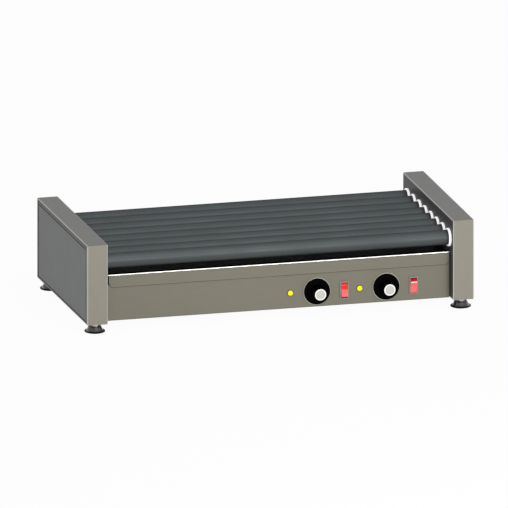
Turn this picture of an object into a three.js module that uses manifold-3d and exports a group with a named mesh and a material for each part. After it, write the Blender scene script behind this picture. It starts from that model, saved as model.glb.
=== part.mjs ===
// Hot dog roller grill: two upright housings carry eight heated rollers over a
// pull-out drip tray, with a control panel below. Millimetres, +Z up, +X to the
// right, +Y to the rear. The exported group's origin is the middle of the
// grill's footprint, on the surface that the feet stand on.

import * as THREE from 'three';
import { mergeVertices } from 'three/addons/utils/BufferGeometryUtils.js';
import Module from 'manifold-3d';

const wasm = await Module();
wasm.setup();

// ---------------------------------------------------------------- dimensions
// The assembly is laid out from the lower front left corner of the left
// housing: x from its outer face, y from its front face, z from its underside.
// GAP parts neighbours that touch, and OVERLAP is how far shapes that are joined
// or cut reach into or past each other.

// overall
const WIDTH = 670;
const HEIGHT = 138;
const HOUSING_WIDTH = 36;
const SHEET = 1.2;
const GAP = 0.3;
const OVERLAP = 1;

// rollers
const ROLLER_COUNT = 8;
const ROLLER_RADIUS = 12.5;
const ROLLER_WALL = 1;
const ROLLER_PITCH = 38;
const FRONT_TO_FIRST_ROLLER = 24.5;
const LAST_ROLLER_TO_REAR = 33.5;
const HOUSING_ABOVE_TRAY = 57.7;
const ROLLER_RUNNING_GAP = 0.4;
const ROLLER_END_IN_HOUSING = 22;

// white bushes that carry the rollers
const BUSH_WALL = 1.4;
const BUSH_RING_LIP = 1.2;
const BUSH_RING_THICKNESS = 4;
const BUSH_BARREL_LENGTH = 6;
const BUSH_STRIP_THICKNESS = 3;
const BUSH_STRIP_MARGIN = 3.5;

// sprockets and chain
const CHAIN_PITCH = 9.525;
const SPROCKET_NEIGHBOUR_GAP = 2;
const CHAIN_ROLLER_RADIUS = 3.175;
const SPROCKET_THICKNESS = 5;
const SPROCKET_X = 14;
const TOOTH_TIP_RISE = 1.8;
const TOOTH_TIP_SHARE = 0.1;
const TOOTH_ROOT_SHARE = 0.3;
const FEWEST_TEETH = 6;
const SPROCKET_HUB_REACH = 2;
const SPROCKET_SPIGOT_LENGTH = 12;
const HEATER_PASSAGE_RADIUS = 6.5;
const CHAIN_PLATE_HALF_HEIGHT = 3.9;
const CHAIN_PLATE_THICKNESS = 1.5;
const CHAIN_SIDE_GAP = 0.5;
const CHAIN_TIP_GAP = 0.5;

// motor and chain tensioner
const DRIVE_Y = 200;
const IDLER_Y = 100;
const IDLER_Z = 56;
const MOTOR_SHAFT_RADIUS = 3.5;
const MOTOR_RADIUS = 29;
const MOTOR_LENGTH = 50;
const MOTOR_SHAFT_OFFSET = 10;
const MOTOR_BOSS_RADIUS = 6;
const MOTOR_BOSS_LENGTH = 8;
const MOTOR_PLATE_HALF_WIDTH = 38;
const MOTOR_PLATE_HALF_HEIGHT = 18;
const MOTOR_PLATE_THICKNESS = 2;
const MOTOR_BORE_DEPTH = 22;
const MOTOR_SHAFT_DEPTH = 12;
const MOTOR_SHAFT_PROUD = 1;
const IDLER_AXLE_RADIUS = 5;
const IDLER_COLLAR_RADIUS = 9;
const IDLER_COLLAR_THICKNESS = 4;
const IDLER_STUD_RADIUS = 3;
const IDLER_HEAD_RADIUS = 7;
const IDLER_HEAD_THICKNESS = 1.6;

// heaters
const HEATER_RADIUS = 4;
const HEATERS_PER_BANK = 4;
const HEATER_BAR_THICKNESS = 3;
const HEATER_BAR_HALF_HEIGHT = 10;
const HEATER_BAR_FROM_FACE = 16;
const HEATER_TERMINAL_LENGTH = 7;
const HEATER_LEG_TO_BUSH = 0.8;
const END_BAR_FROM_FACE = 8.4;
const END_BAR_THICKNESS = 2;
const END_BAR_HOLE_RADIUS = 4.4;
const HEATER_TAIL = 2;

// housings and their side covers
const RETURN_FLANGE = 3.4;
const COVER_SHEET = 1.5;
const COVER_BEVEL = 3.8;
const COVER_RIM_DEPTH = 8;
const WIRE_HOLE_RADIUS = 9;
const WIRE_HOLE_Y = 60;
const WIRE_HOLE_Z = 32;

// panels
const PANEL_SETBACK = 20;
const PANEL_FLANGE = 14;
const BASE_SLOT_LENGTH = 44;
const BASE_SLOT_WIDTH = 5;
const BASE_SLOT_PITCH = 14;
const BASE_SLOTS_PER_ROW = 8;
const BASE_SLOT_ROWS_APART = 108;
const REAR_SLOT_LENGTH = 34;
const REAR_SLOT_HEIGHT = 4;
const REAR_SLOT_PITCH = 11;
const REAR_SLOT_ROWS = 4;
const REAR_SLOT_COLUMNS = 3;
const REAR_SLOT_COLUMN_PITCH = 46;
const REAR_SLOTS_FROM_LEFT = 130;

// drip tray
const TRAY_LEFT_GAP = 7.4;
const TRAY_RIGHT_GAP = 1.3;
const TRAY_FRONT_GAP = 0.6;
const TRAY_UNDER_ROLLERS = 10.8;
const TRAY_ABOVE_PANEL = 17.8;
const TRAY_APRON_HEIGHT = 22.5;
const TRAY_BRIDGE = 10;
const TRAY_TURN_DOWN = 14;
const TRAY_CORNER_RADIUS = 9;
const PAN_SHEET = 1;
const PAN_SIDE_INSET = 2;
const PAN_REAR_GAP = 6;
const PAN_FLOOR_CLEARANCE = 0.5;
const PAN_RIM_DROP = 1.5;

// controls: two like groups, set out from the right housing and the apron
const RIGHT_KNOB_FROM_WALL = 111;
const CONTROL_GROUP_PITCH = 120;
const SWITCH_FROM_KNOB = 47.7;
const LAMP_FROM_KNOB = 46;
const KNOB_UNDER_APRON = 8.3;
const SWITCH_BELOW_KNOB = 1.5;
const KNOB_SKIRT_RADIUS = 22.5;
const KNOB_SKIRT_THICKNESS = 3.6;
const KNOB_STANDOFF = 0.4;
const KNOB_GRIP_LENGTH = 21.6;
const KNOB_GRIP_BASE_RADIUS = 12.5;
const KNOB_GRIP_TIP_RADIUS = 11;
const KNOB_CAP_RADIUS = 9.75;
const KNOB_CAP_BEVEL = 1.4;
const SPINDLE_RADIUS = 3;
const SPINDLE_LENGTH = 22;
const SPINDLE_CLEARANCE = 0.4;
const THERMOSTAT_HALF_WIDTH = 17;
const THERMOSTAT_HALF_HEIGHT = 15;
const THERMOSTAT_DEPTH = 30;
const THERMOSTAT_NECK_RADIUS = 5;
const LAMP_LENS_RADIUS = 5;
const LAMP_LENS_THICKNESS = 3;
const LAMP_BODY_RADIUS = 4;
const LAMP_BODY_LENGTH = 24;
const SWITCH_WIDTH = 15;
const SWITCH_HEIGHT = 30;
const SWITCH_BEZEL_THICKNESS = 2;
const SWITCH_BEZEL_LIP = 1;
const SWITCH_BODY_DEPTH = 20;
const SWITCH_POCKET_DEPTH = 10;
const ROCKER_WIDTH = 10.8;
const ROCKER_LENGTH = 24;
const ROCKER_SIDE_GAP = 0.35;
const ROCKER_END_GAP = 1.4;
const ROCKER_THROW_DEG = 10;
const ROCKER_PIVOT_DEPTH = 3;
const ROCKER_BACK_DEPTH = 3;
const ROCKER_BACK_CROWN = 1;
const ROCKER_TAPER = 4;
const ROCKER_PIN_RADIUS = 1.5;
const ROCKER_PIN_LENGTH = 0.6;

// feet
const FOOT_HEIGHT = 16;
const FOOT_RADIUS = 17.5;
const FOOT_RIM_HEIGHT = 2.5;
const FOOT_NECK_RADIUS = 8;
const FOOT_NUT_ACROSS_FLATS = 13;
const FOOT_NUT_HEIGHT = 5;
const FOOT_NUT_GAP = 0.5;
const FOOT_STUD_RADIUS = 3.9;
const FOOT_STUD_LENGTH = 16;
const FOOT_FROM_END = 18.5;
const HEX_SIDES = 6;

// mains inlet
const GLAND_FROM_RIGHT = 110;
const GLAND_Z = 30;
const GLAND_THREAD_RADIUS = 9;
const GLAND_FLANGE_RADIUS = 12;
const GLAND_FLANGE_THICKNESS = 4;
const GLAND_DOME_RADIUS = 10;
const GLAND_DOME_BEVEL = 3.5;
const GLAND_LENGTH = 17;
const GLAND_BORE_RADIUS = 4;
const GLAND_NUT_THICKNESS = 5;
const TERMINAL_BLOCK_LENGTH = 56;
const TERMINAL_BLOCK_WIDTH = 22;
const TERMINAL_BLOCK_HEIGHT = 16;
const TERMINAL_BLOCK_FROM_REAR = 66;
const TERMINAL_WAYS = 5;
const TERMINAL_SIDE_WALL = 2.2;
const TERMINAL_END_WALL = 5.5;
const TERMINAL_WELL_DEPTH = 8;

// facets of the round pieces
const ROUND = 20;
const SMALL_ROUND = 16;
const THIN_ROUND = 12;
const LOOP_CORNER = 5;

// ------------------------------------------------------------------- derived
const INNER_LEFT = HOUSING_WIDTH;
const INNER_RIGHT = WIDTH - HOUSING_WIDTH;
const PANEL_LEFT = INNER_LEFT + GAP;
const PANEL_RIGHT = INNER_RIGHT - GAP;
const PANEL_FRONT_Y = PANEL_SETBACK;
const ROLLER_BORE = ROLLER_RADIUS - ROLLER_WALL;
const BUSH_BORE = ROLLER_RADIUS + ROLLER_RUNNING_GAP;
const BUSH_BARREL_RADIUS = BUSH_BORE + BUSH_WALL;
const BUSH_RING_RADIUS = BUSH_BARREL_RADIUS + BUSH_RING_LIP;
const rollerYs = Array.from(
  { length: ROLLER_COUNT },
  (_, i) => FRONT_TO_FIRST_ROLLER + i * ROLLER_PITCH,
);
const DEPTH = rollerYs[ROLLER_COUNT - 1] + LAST_ROLLER_TO_REAR;
const PANEL_REAR_Y = DEPTH - PANEL_SETBACK;
const TRAY_TOP_Z = HEIGHT - HOUSING_ABOVE_TRAY;
const ROLLER_AXIS_Z = TRAY_TOP_Z + TRAY_UNDER_ROLLERS + ROLLER_RADIUS;
const PANEL_HEIGHT = TRAY_TOP_Z - TRAY_ABOVE_PANEL;
const CONTROL_Z = TRAY_TOP_Z - TRAY_APRON_HEIGHT - KNOB_UNDER_APRON - KNOB_SKIRT_RADIUS;
const SWITCH_Z = CONTROL_Z - SWITCH_BELOW_KNOB;
const RIGHT_KNOB_X = INNER_RIGHT - RIGHT_KNOB_FROM_WALL;
const KNOB_XS = [RIGHT_KNOB_X - CONTROL_GROUP_PITCH, RIGHT_KNOB_X];
const PLATE_TOP_Z = 2 * (SHEET + GAP);
const MOTOR_Z = PLATE_TOP_Z + MOTOR_RADIUS;
const DRIVE_Z = MOTOR_Z + MOTOR_SHAFT_OFFSET;

// The largest sprocket that still clears its neighbour on the next roller.
function pitchRadius(teeth) {
  return CHAIN_PITCH / (2 * Math.sin(Math.PI / teeth));
}

function teethThatFit() {
  const room = (ROLLER_PITCH - SPROCKET_NEIGHBOUR_GAP) / 2;
  let teeth = FEWEST_TEETH;
  while (pitchRadius(teeth + 1) + TOOTH_TIP_RISE <= room) teeth += 1;
  return teeth;
}

const SPROCKET_TEETH = teethThatFit();
const SPROCKET_PITCH_RADIUS = pitchRadius(SPROCKET_TEETH);
const SPROCKET_ROOT_RADIUS = SPROCKET_PITCH_RADIUS - CHAIN_ROLLER_RADIUS;
const SPROCKET_TIP_RADIUS = SPROCKET_PITCH_RADIUS + TOOTH_TIP_RISE;
const SPROCKET_END_X = SPROCKET_X + SPROCKET_THICKNESS;
const CHAIN_INNER_RADIUS = SPROCKET_PITCH_RADIUS - CHAIN_PLATE_HALF_HEIGHT;
const CHAIN_OUTER_RADIUS = SPROCKET_PITCH_RADIUS + CHAIN_PLATE_HALF_HEIGHT;
const TRAY_LEFT_X = INNER_LEFT + TRAY_LEFT_GAP;
const TRAY_RIGHT_X = INNER_RIGHT - TRAY_RIGHT_GAP;
const TRAY_FRONT_Y = PANEL_FRONT_Y - TRAY_FRONT_GAP - SHEET;
const PAN_FLOOR_Z = PANEL_HEIGHT + PAN_FLOOR_CLEARANCE;
const KNOB_FRONT_Y = PANEL_FRONT_Y - KNOB_STANDOFF - KNOB_SKIRT_THICKNESS - KNOB_GRIP_LENGTH;
const FRONTMOST_Y = Math.min(0, KNOB_FRONT_Y);
const REARMOST_Y = Math.max(DEPTH, PANEL_REAR_Y + GAP + GLAND_LENGTH);
const ROCKER_PIVOT_Y = PANEL_FRONT_Y + ROCKER_PIVOT_DEPTH;

// ----------------------------------------------------------------- materials
function finish(color, roughness, metalness) {
  return new THREE.MeshStandardMaterial({ color, roughness, metalness });
}

const housingSteel = finish(0x99948a, 0.42, 0.9);
const panelSteel = finish(0x838074, 0.45, 0.9);
const rollerSteel = finish(0x585d5e, 0.5, 0.7);
const innerSteel = finish(0x8d9092, 0.5, 0.8);
const chainSteel = finish(0x55585a, 0.4, 0.9);
const zincSteel = finish(0xb9bcbc, 0.35, 0.9);
const panCoating = finish(0x161616, 0.6, 0.1);
const whitePlastic = finish(0xf6f6f4, 0.5, 0);
const blackPlastic = finish(0x0b0b0b, 0.4, 0);
const greyPlastic = finish(0x9c9c98, 0.5, 0);
const redPlastic = finish(0xd8262a, 0.3, 0);
const yellowLens = finish(0xf4ee10, 0.2, 0);
const motorPaint = finish(0x3a3d40, 0.55, 0.4);
const heaterSheath = finish(0x6a6f66, 0.6, 0.6);
const ceramic = finish(0xe4dfd2, 0.7, 0);

// -------------------------------------------------------------- solid helpers
// A closed mesh becomes a solid: shared corners are merged, flat slivers are
// dropped and a mesh that is inside out is turned round.
function solid(geometry) {
  const bare = geometry.index ? geometry.toNonIndexed() : geometry.clone();
  for (const name of Object.keys(bare.attributes)) {
    if (name !== 'position') bare.deleteAttribute(name);
  }
  const merged = mergeVertices(bare, 1e-4);
  const points = merged.attributes.position.array;
  const index = merged.index.array;
  const triangles = [];
  let volume = 0;
  for (let i = 0; i < index.length; i += 3) {
    const [a, b, c] = [index[i], index[i + 1], index[i + 2]];
    if (a === b || b === c || c === a) continue;
    triangles.push(a, b, c);
    const pa = new THREE.Vector3().fromArray(points, 3 * a);
    const pb = new THREE.Vector3().fromArray(points, 3 * b);
    const pc = new THREE.Vector3().fromArray(points, 3 * c);
    volume += pa.dot(pb.cross(pc));
  }
  if (volume < 0) triangles.reverse();
  return new wasm.Manifold(new wasm.Mesh({
    numProp: 3,
    vertProperties: new Float32Array(points),
    triVerts: new Uint32Array(triangles),
  }));
}

function geometryOf(manifold) {
  const mesh = manifold.getMesh();
  const geometry = new THREE.BufferGeometry();
  geometry.setAttribute('position', new THREE.BufferAttribute(mesh.vertProperties, 3));
  geometry.setIndex(new THREE.BufferAttribute(mesh.triVerts, 1));
  geometry.computeVertexNormals();
  return geometry;
}

function add(...pieces) {
  return pieces.reduce((whole, piece) => whole.add(piece));
}

function cut(body, ...tools) {
  return tools.reduce((rest, tool) => rest.subtract(tool), body);
}

function block([x0, x1], [y0, y1], [z0, z1]) {
  const geometry = new THREE.BoxGeometry(Math.abs(x1 - x0), Math.abs(y1 - y0), Math.abs(z1 - z0));
  geometry.translate((x0 + x1) / 2, (y0 + y1) / 2, (z0 + z1) / 2);
  return solid(geometry);
}

// A block whose face at x = near is smaller on all four sides by the inset.
function bevelledBlock([near, far], [y0, y1], [z0, z1], inset) {
  const geometry = new THREE.BoxGeometry(1, 1, 1);
  const position = geometry.attributes.position;
  for (let i = 0; i < position.count; i += 1) {
    const pull = position.getX(i) < 0 ? inset : 0;
    const y = position.getY(i) < 0 ? y0 + pull : y1 - pull;
    const z = position.getZ(i) < 0 ? z0 + pull : z1 - pull;
    position.setXYZ(i, position.getX(i) < 0 ? near : far, y, z);
  }
  return solid(geometry);
}

// Stands a geometry made along +Y on another axis, at a place.
function placed(geometry, axis, [x, y, z]) {
  if (axis === 'x') geometry.rotateZ(-Math.PI / 2);
  if (axis === 'z') geometry.rotateX(Math.PI / 2);
  geometry.translate(x, y, z);
  return solid(geometry);
}

// A turned piece: profile pairs are [distance along the axis, radius].
function turned(axis, place, profile, segments = ROUND) {
  const points = profile.map(([along, radius]) => new THREE.Vector2(radius, along));
  points.push(points[0].clone());
  return placed(new THREE.LatheGeometry(points, segments), axis, place);
}

function rod(axis, place, radius, [start, end], segments = ROUND) {
  return turned(axis, place, [[start, 0], [start, radius], [end, radius], [end, 0]], segments);
}

function tube(axis, place, radius, bore, [start, end], segments = ROUND) {
  const profile = [[start, bore], [start, radius], [end, radius], [end, bore]];
  return turned(axis, place, profile, segments);
}

// Extrudes an outline drawn in y and z along x.
function extrudedAlongX(shape, [x0, x1]) {
  const options = { depth: x1 - x0, bevelEnabled: false, curveSegments: LOOP_CORNER };
  const geometry = new THREE.ExtrudeGeometry(shape, options);
  const yzx = new THREE.Matrix4().makeBasis(
    new THREE.Vector3(0, 1, 0),
    new THREE.Vector3(0, 0, 1),
    new THREE.Vector3(1, 0, 0),
  );
  geometry.applyMatrix4(yzx);
  geometry.translate(x0, 0, 0);
  return solid(geometry);
}

function outline(points) {
  return new THREE.Shape(points.map(([y, z]) => new THREE.Vector2(y, z)));
}

// Housings mirror each other: x counts inward from a side's outer face.
function across(side, x) {
  return side === 'left' ? x : WIDTH - x;
}

function span(side, x0, x1) {
  const ends = [across(side, x0), across(side, x1)];
  return [Math.min(...ends), Math.max(...ends)];
}

// ---------------------------------------------------------------- assembly
const assembly = new THREE.Group();
assembly.position.set(-WIDTH / 2, -(FRONTMOST_Y + REARMOST_Y) / 2, FOOT_HEIGHT);

function piece(name, body, material) {
  const mesh = new THREE.Mesh(geometryOf(body), material);
  mesh.name = name;
  assembly.add(mesh);
}

// ---------------------------------------------------------------- housings
// A deep tray of folded sheet: the inner wall faces the rollers, and the outer
// side is open inside a narrow return flange, where the side cover fits.
function housing(side) {
  const shell = block(span(side, 0, HOUSING_WIDTH), [0, DEPTH], [0, HEIGHT]);
  const hollow = block(
    span(side, SHEET, HOUSING_WIDTH - SHEET),
    [SHEET, DEPTH - SHEET],
    [SHEET, HEIGHT - SHEET],
  );
  const mouth = block(
    span(side, -SHEET, 2 * SHEET),
    [RETURN_FLANGE, DEPTH - RETURN_FLANGE],
    [RETURN_FLANGE, HEIGHT - RETURN_FLANGE],
  );
  const bushHole = side === 'left' ? BUSH_RING_RADIUS + GAP : BUSH_BARREL_RADIUS + GAP;
  const wall = span(side, HOUSING_WIDTH - 2 * SHEET, HOUSING_WIDTH + SHEET);
  const bushHoles = rollerYs.map((y) => rod('x', [0, y, ROLLER_AXIS_Z], bushHole, wall));
  const studHoles = footYs().map((y) => rod(
    'z', [across(side, HOUSING_WIDTH / 2), y, 0], FOOT_STUD_RADIUS + GAP, [-SHEET, 2 * SHEET], SMALL_ROUND,
  ));
  const serviceHoles = side === 'left'
    ? [
      rod('x', [0, DRIVE_Y, DRIVE_Z], MOTOR_BOSS_RADIUS + GAP, wall, SMALL_ROUND),
      rod('x', [0, IDLER_Y, IDLER_Z], IDLER_STUD_RADIUS + GAP, wall, SMALL_ROUND),
    ]
    : [rod('x', [0, WIRE_HOLE_Y, WIRE_HOLE_Z], WIRE_HOLE_RADIUS, wall, SMALL_ROUND)];
  return cut(shell, hollow, mouth, ...bushHoles, ...studHoles, ...serviceHoles);
}

// A shallow lid with a sloped edge, whose rim slides into the housing's mouth.
function sideCover(side) {
  const edge = RETURN_FLANGE + GAP;
  const ys = [edge, DEPTH - edge];
  const zs = [edge, HEIGHT - edge];
  const face = bevelledBlock([across(side, 0), across(side, COVER_SHEET)], ys, zs, COVER_BEVEL);
  const rim = block(span(side, COVER_SHEET, COVER_RIM_DEPTH), ys, zs);
  const inside = block(
    span(side, COVER_SHEET, COVER_RIM_DEPTH + SHEET),
    [edge + COVER_SHEET, DEPTH - edge - COVER_SHEET],
    [edge + COVER_SHEET, HEIGHT - edge - COVER_SHEET],
  );
  return cut(add(face, rim), inside);
}

function footYs() {
  return [FOOT_FROM_END, DEPTH - FOOT_FROM_END];
}

for (const side of ['left', 'right']) {
  piece(`${side}_housing`, housing(side), housingSteel);
  piece(`${side}_side_cover`, sideCover(side), housingSteel);
}

// ------------------------------------------------------------------ panels
// Front and rear panels are channels: a face with flanges turned inward at its
// top, bottom and both ends. inward is +1 at the front and -1 at the rear.
function panel(faceY, inward) {
  const back = faceY + inward * SHEET;
  const edge = faceY + inward * PANEL_FLANGE;
  const width = [PANEL_LEFT, PANEL_RIGHT];
  return add(
    block(width, [faceY, back], [0, PANEL_HEIGHT]),
    block(width, [faceY, edge], [PANEL_HEIGHT - SHEET, PANEL_HEIGHT]),
    block(width, [faceY, edge], [0, SHEET]),
    block([PANEL_LEFT, PANEL_LEFT + SHEET], [faceY, edge], [0, PANEL_HEIGHT]),
    block([PANEL_RIGHT - SHEET, PANEL_RIGHT], [faceY, edge], [0, PANEL_HEIGHT]),
  );
}

function frontPanel() {
  const through = [PANEL_FRONT_Y - SHEET, PANEL_FRONT_Y + 2 * SHEET];
  const spindleHoles = KNOB_XS.map((x) => rod(
    'y', [x, 0, CONTROL_Z], THERMOSTAT_NECK_RADIUS + GAP, through, SMALL_ROUND,
  ));
  const lampHoles = KNOB_XS.map((x) => rod(
    'y', [x - LAMP_FROM_KNOB, 0, CONTROL_Z], LAMP_BODY_RADIUS + GAP, through, SMALL_ROUND,
  ));
  const halfWidth = SWITCH_WIDTH / 2 - SWITCH_BEZEL_LIP + GAP;
  const halfHeight = SWITCH_HEIGHT / 2 - SWITCH_BEZEL_LIP + GAP;
  const switchHoles = KNOB_XS.map((x) => block(
    [x + SWITCH_FROM_KNOB - halfWidth, x + SWITCH_FROM_KNOB + halfWidth],
    through,
    [SWITCH_Z - halfHeight, SWITCH_Z + halfHeight],
  ));
  return cut(panel(PANEL_FRONT_Y, 1), ...spindleHoles, ...lampHoles, ...switchHoles);
}

function rearPanel() {
  const through = [PANEL_REAR_Y - 2 * SHEET, PANEL_REAR_Y + SHEET];
  const glandHole = rod(
    'y', [WIDTH - GLAND_FROM_RIGHT, 0, GLAND_Z], GLAND_THREAD_RADIUS + GAP, through, SMALL_ROUND,
  );
  const slots = [];
  for (let column = 0; column < REAR_SLOT_COLUMNS; column += 1) {
    for (let row = 0; row < REAR_SLOT_ROWS; row += 1) {
      const x = REAR_SLOTS_FROM_LEFT + column * REAR_SLOT_COLUMN_PITCH;
      const z = PANEL_HEIGHT / 2 + (row - (REAR_SLOT_ROWS - 1) / 2) * REAR_SLOT_PITCH;
      slots.push(block([x, x + REAR_SLOT_LENGTH], through, [z, z + REAR_SLOT_HEIGHT]));
    }
  }
  return cut(panel(PANEL_REAR_Y, -1), glandHole, ...slots);
}

// The bottom plate rests on the panels' lower flanges and has two rows of
// cooling slots.
function bottomPlate() {
  const clear = SHEET + GAP;
  const plate = block(
    [PANEL_LEFT + clear, PANEL_RIGHT - clear],
    [PANEL_FRONT_Y + clear, PANEL_REAR_Y - clear],
    [clear, clear + SHEET],
  );
  const slots = [];
  for (const y of [DEPTH / 2 - BASE_SLOT_ROWS_APART / 2, DEPTH / 2 + BASE_SLOT_ROWS_APART / 2]) {
    for (let i = 0; i < BASE_SLOTS_PER_ROW; i += 1) {
      const x = WIDTH / 2 + (i - (BASE_SLOTS_PER_ROW - 1) / 2) * BASE_SLOT_PITCH;
      slots.push(block(
        [x - BASE_SLOT_WIDTH / 2, x + BASE_SLOT_WIDTH / 2],
        [y - BASE_SLOT_LENGTH / 2, y + BASE_SLOT_LENGTH / 2],
        [0, clear + 2 * SHEET],
      ));
    }
  }
  return cut(plate, ...slots);
}

piece('front_panel', frontPanel(), panelSteel);
piece('rear_panel', rearPanel(), panelSteel);
piece('bottom_plate', bottomPlate(), innerSteel);

// --------------------------------------------------------------- drip tray
// The apron hangs in front of the panel, bridges back over the panel's top
// edge and turns down to carry the front wall of the pan.
function trayApron() {
  const bottom = TRAY_TOP_Z - TRAY_APRON_HEIGHT;
  const shape = new THREE.Shape();
  const r = TRAY_CORNER_RADIUS;
  shape.moveTo(TRAY_LEFT_X, TRAY_TOP_Z);
  shape.lineTo(TRAY_LEFT_X, bottom + r);
  shape.absarc(TRAY_LEFT_X + r, bottom + r, r, Math.PI, 1.5 * Math.PI, false);
  shape.absarc(TRAY_RIGHT_X - r, bottom + r, r, 1.5 * Math.PI, 2 * Math.PI, false);
  shape.lineTo(TRAY_RIGHT_X, TRAY_TOP_Z);
  const geometry = new THREE.ExtrudeGeometry(
    shape,
    { depth: SHEET, bevelEnabled: false, curveSegments: LOOP_CORNER },
  );
  geometry.rotateX(Math.PI / 2);
  geometry.translate(0, TRAY_FRONT_Y + SHEET, 0);
  const width = [TRAY_LEFT_X, TRAY_RIGHT_X];
  const bridgeBack = TRAY_FRONT_Y + TRAY_BRIDGE;
  return add(
    solid(geometry),
    block(width, [TRAY_FRONT_Y, bridgeBack], [TRAY_TOP_Z - SHEET, TRAY_TOP_Z]),
    block(width, [bridgeBack - SHEET, bridgeBack], [TRAY_TOP_Z - TRAY_TURN_DOWN, TRAY_TOP_Z]),
  );
}

function dripPan() {
  const x = [TRAY_LEFT_X + PAN_SIDE_INSET, TRAY_RIGHT_X - PAN_SIDE_INSET];
  const y = [TRAY_FRONT_Y + TRAY_BRIDGE + GAP, PANEL_REAR_Y - PAN_REAR_GAP];
  const rim = TRAY_TOP_Z - PAN_RIM_DROP;
  return cut(
    block(x, y, [PAN_FLOOR_Z, rim]),
    block(
      [x[0] + PAN_SHEET, x[1] - PAN_SHEET],
      [y[0] + PAN_SHEET, y[1] - PAN_SHEET],
      [PAN_FLOOR_Z + PAN_SHEET, rim + PAN_SHEET],
    ),
  );
}

piece('tray_apron', trayApron(), panelSteel);
piece('drip_pan', dripPan(), panCoating);

// ------------------------------------------------------- rollers and bushes
function roller(y) {
  const ends = [ROLLER_END_IN_HOUSING, WIDTH - ROLLER_END_IN_HOUSING];
  return tube('x', [0, y, ROLLER_AXIS_Z], ROLLER_RADIUS, ROLLER_BORE, ends);
}

// A white ring against the inner wall with a barrel through it.
function rightBush(y) {
  const ringEnd = INNER_RIGHT - GAP;
  return turned('x', [0, y, ROLLER_AXIS_Z], [
    [INNER_RIGHT - BUSH_RING_THICKNESS, BUSH_BORE],
    [INNER_RIGHT - BUSH_RING_THICKNESS, BUSH_RING_RADIUS],
    [ringEnd, BUSH_RING_RADIUS],
    [ringEnd, BUSH_BARREL_RADIUS],
    [INNER_RIGHT + BUSH_BARREL_LENGTH, BUSH_BARREL_RADIUS],
    [INNER_RIGHT + BUSH_BARREL_LENGTH, BUSH_BORE],
  ]);
}

// At the drive end one strip behind the wall carries all the rings.
function leftBushStrip() {
  const stripFace = INNER_LEFT - SHEET - GAP;
  const backFace = stripFace - BUSH_STRIP_THICKNESS;
  const halfHeight = BUSH_RING_RADIUS + BUSH_STRIP_MARGIN;
  const strip = block(
    [backFace, stripFace],
    [SHEET + GAP, DEPTH - SHEET - GAP],
    [ROLLER_AXIS_Z - halfHeight, ROLLER_AXIS_Z + halfHeight],
  );
  const ringSpan = [backFace, INNER_LEFT + BUSH_RING_THICKNESS];
  const rings = rollerYs.map((y) => rod('x', [0, y, ROLLER_AXIS_Z], BUSH_RING_RADIUS, ringSpan));
  const boreSpan = [backFace - OVERLAP, INNER_LEFT + BUSH_RING_THICKNESS + OVERLAP];
  const bores = rollerYs.map((y) => rod('x', [0, y, ROLLER_AXIS_Z], BUSH_BORE, boreSpan));
  return cut(add(strip, ...rings), ...bores);
}

rollerYs.forEach((y, i) => piece(`roller_${i + 1}`, roller(y), rollerSteel));
rollerYs.forEach((y, i) => piece(`right_bush_${i + 1}`, rightBush(y), whitePlastic));
piece('left_bush_strip', leftBushStrip(), whitePlastic);

// -------------------------------------------------------- sprockets and chain
// A tooth's tip and root take their shares of the angle from tooth to tooth.
function toothedPlate(y, z) {
  const points = [];
  const step = (2 * Math.PI) / SPROCKET_TEETH;
  const corners = [
    [-TOOTH_ROOT_SHARE, SPROCKET_ROOT_RADIUS],
    [-TOOTH_TIP_SHARE, SPROCKET_TIP_RADIUS],
    [TOOTH_TIP_SHARE, SPROCKET_TIP_RADIUS],
    [TOOTH_ROOT_SHARE, SPROCKET_ROOT_RADIUS],
  ];
  for (let tooth = 0; tooth < SPROCKET_TEETH; tooth += 1) {
    for (const [share, radius] of corners) {
      const angle = (tooth + share) * step;
      points.push([y + radius * Math.cos(angle), z + radius * Math.sin(angle)]);
    }
  }
  return extrudedAlongX(outline(points), [SPROCKET_X, SPROCKET_END_X]);
}

// The hub stands off the toothed plate and its spigot fits into the roller.
function rollerSprocket(y) {
  const place = [0, y, ROLLER_AXIS_Z];
  const spigotRadius = ROLLER_BORE - GAP;
  const shoulder = ROLLER_END_IN_HOUSING - GAP;
  const hubRadius = Math.min(CHAIN_INNER_RADIUS - CHAIN_SIDE_GAP, spigotRadius);
  const hub = turned('x', place, [
    [SPROCKET_X + OVERLAP, 0],
    [SPROCKET_X + OVERLAP, hubRadius],
    [shoulder, hubRadius],
    [shoulder, spigotRadius],
    [shoulder + SPROCKET_SPIGOT_LENGTH, spigotRadius],
    [shoulder + SPROCKET_SPIGOT_LENGTH, 0],
  ], THIN_ROUND);
  const passage = rod(
    'x', place, HEATER_PASSAGE_RADIUS, [0, shoulder + SPROCKET_SPIGOT_LENGTH + OVERLAP], THIN_ROUND,
  );
  return cut(add(toothedPlate(y, ROLLER_AXIS_Z), hub), passage);
}

function boredSprocket(y, z, bore) {
  const hub = rod(
    'x', [0, y, z], CHAIN_INNER_RADIUS - CHAIN_SIDE_GAP,
    [SPROCKET_X - CHAIN_PLATE_THICKNESS, SPROCKET_END_X + SPROCKET_HUB_REACH], THIN_ROUND,
  );
  return cut(
    add(toothedPlate(y, z), hub),
    rod('x', [0, y, z], bore, [0, HOUSING_WIDTH], SMALL_ROUND),
  );
}

// The outline round all the sprockets at a distance from their centres, which
// are listed anticlockwise as seen from the right.
function loopOutline(centres, radius) {
  const shape = new THREE.Shape();
  centres.forEach((centre, i) => {
    const before = centres[(i + centres.length - 1) % centres.length];
    const after = centres[(i + 1) % centres.length];
    const arrive = Math.atan2(centre[1] - before[1], centre[0] - before[0]) - Math.PI / 2;
    const leave = Math.atan2(after[1] - centre[1], after[0] - centre[0]) - Math.PI / 2;
    shape.absarc(centre[0], centre[1], radius, arrive, leave, false);
  });
  shape.closePath();
  return shape;
}

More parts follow.
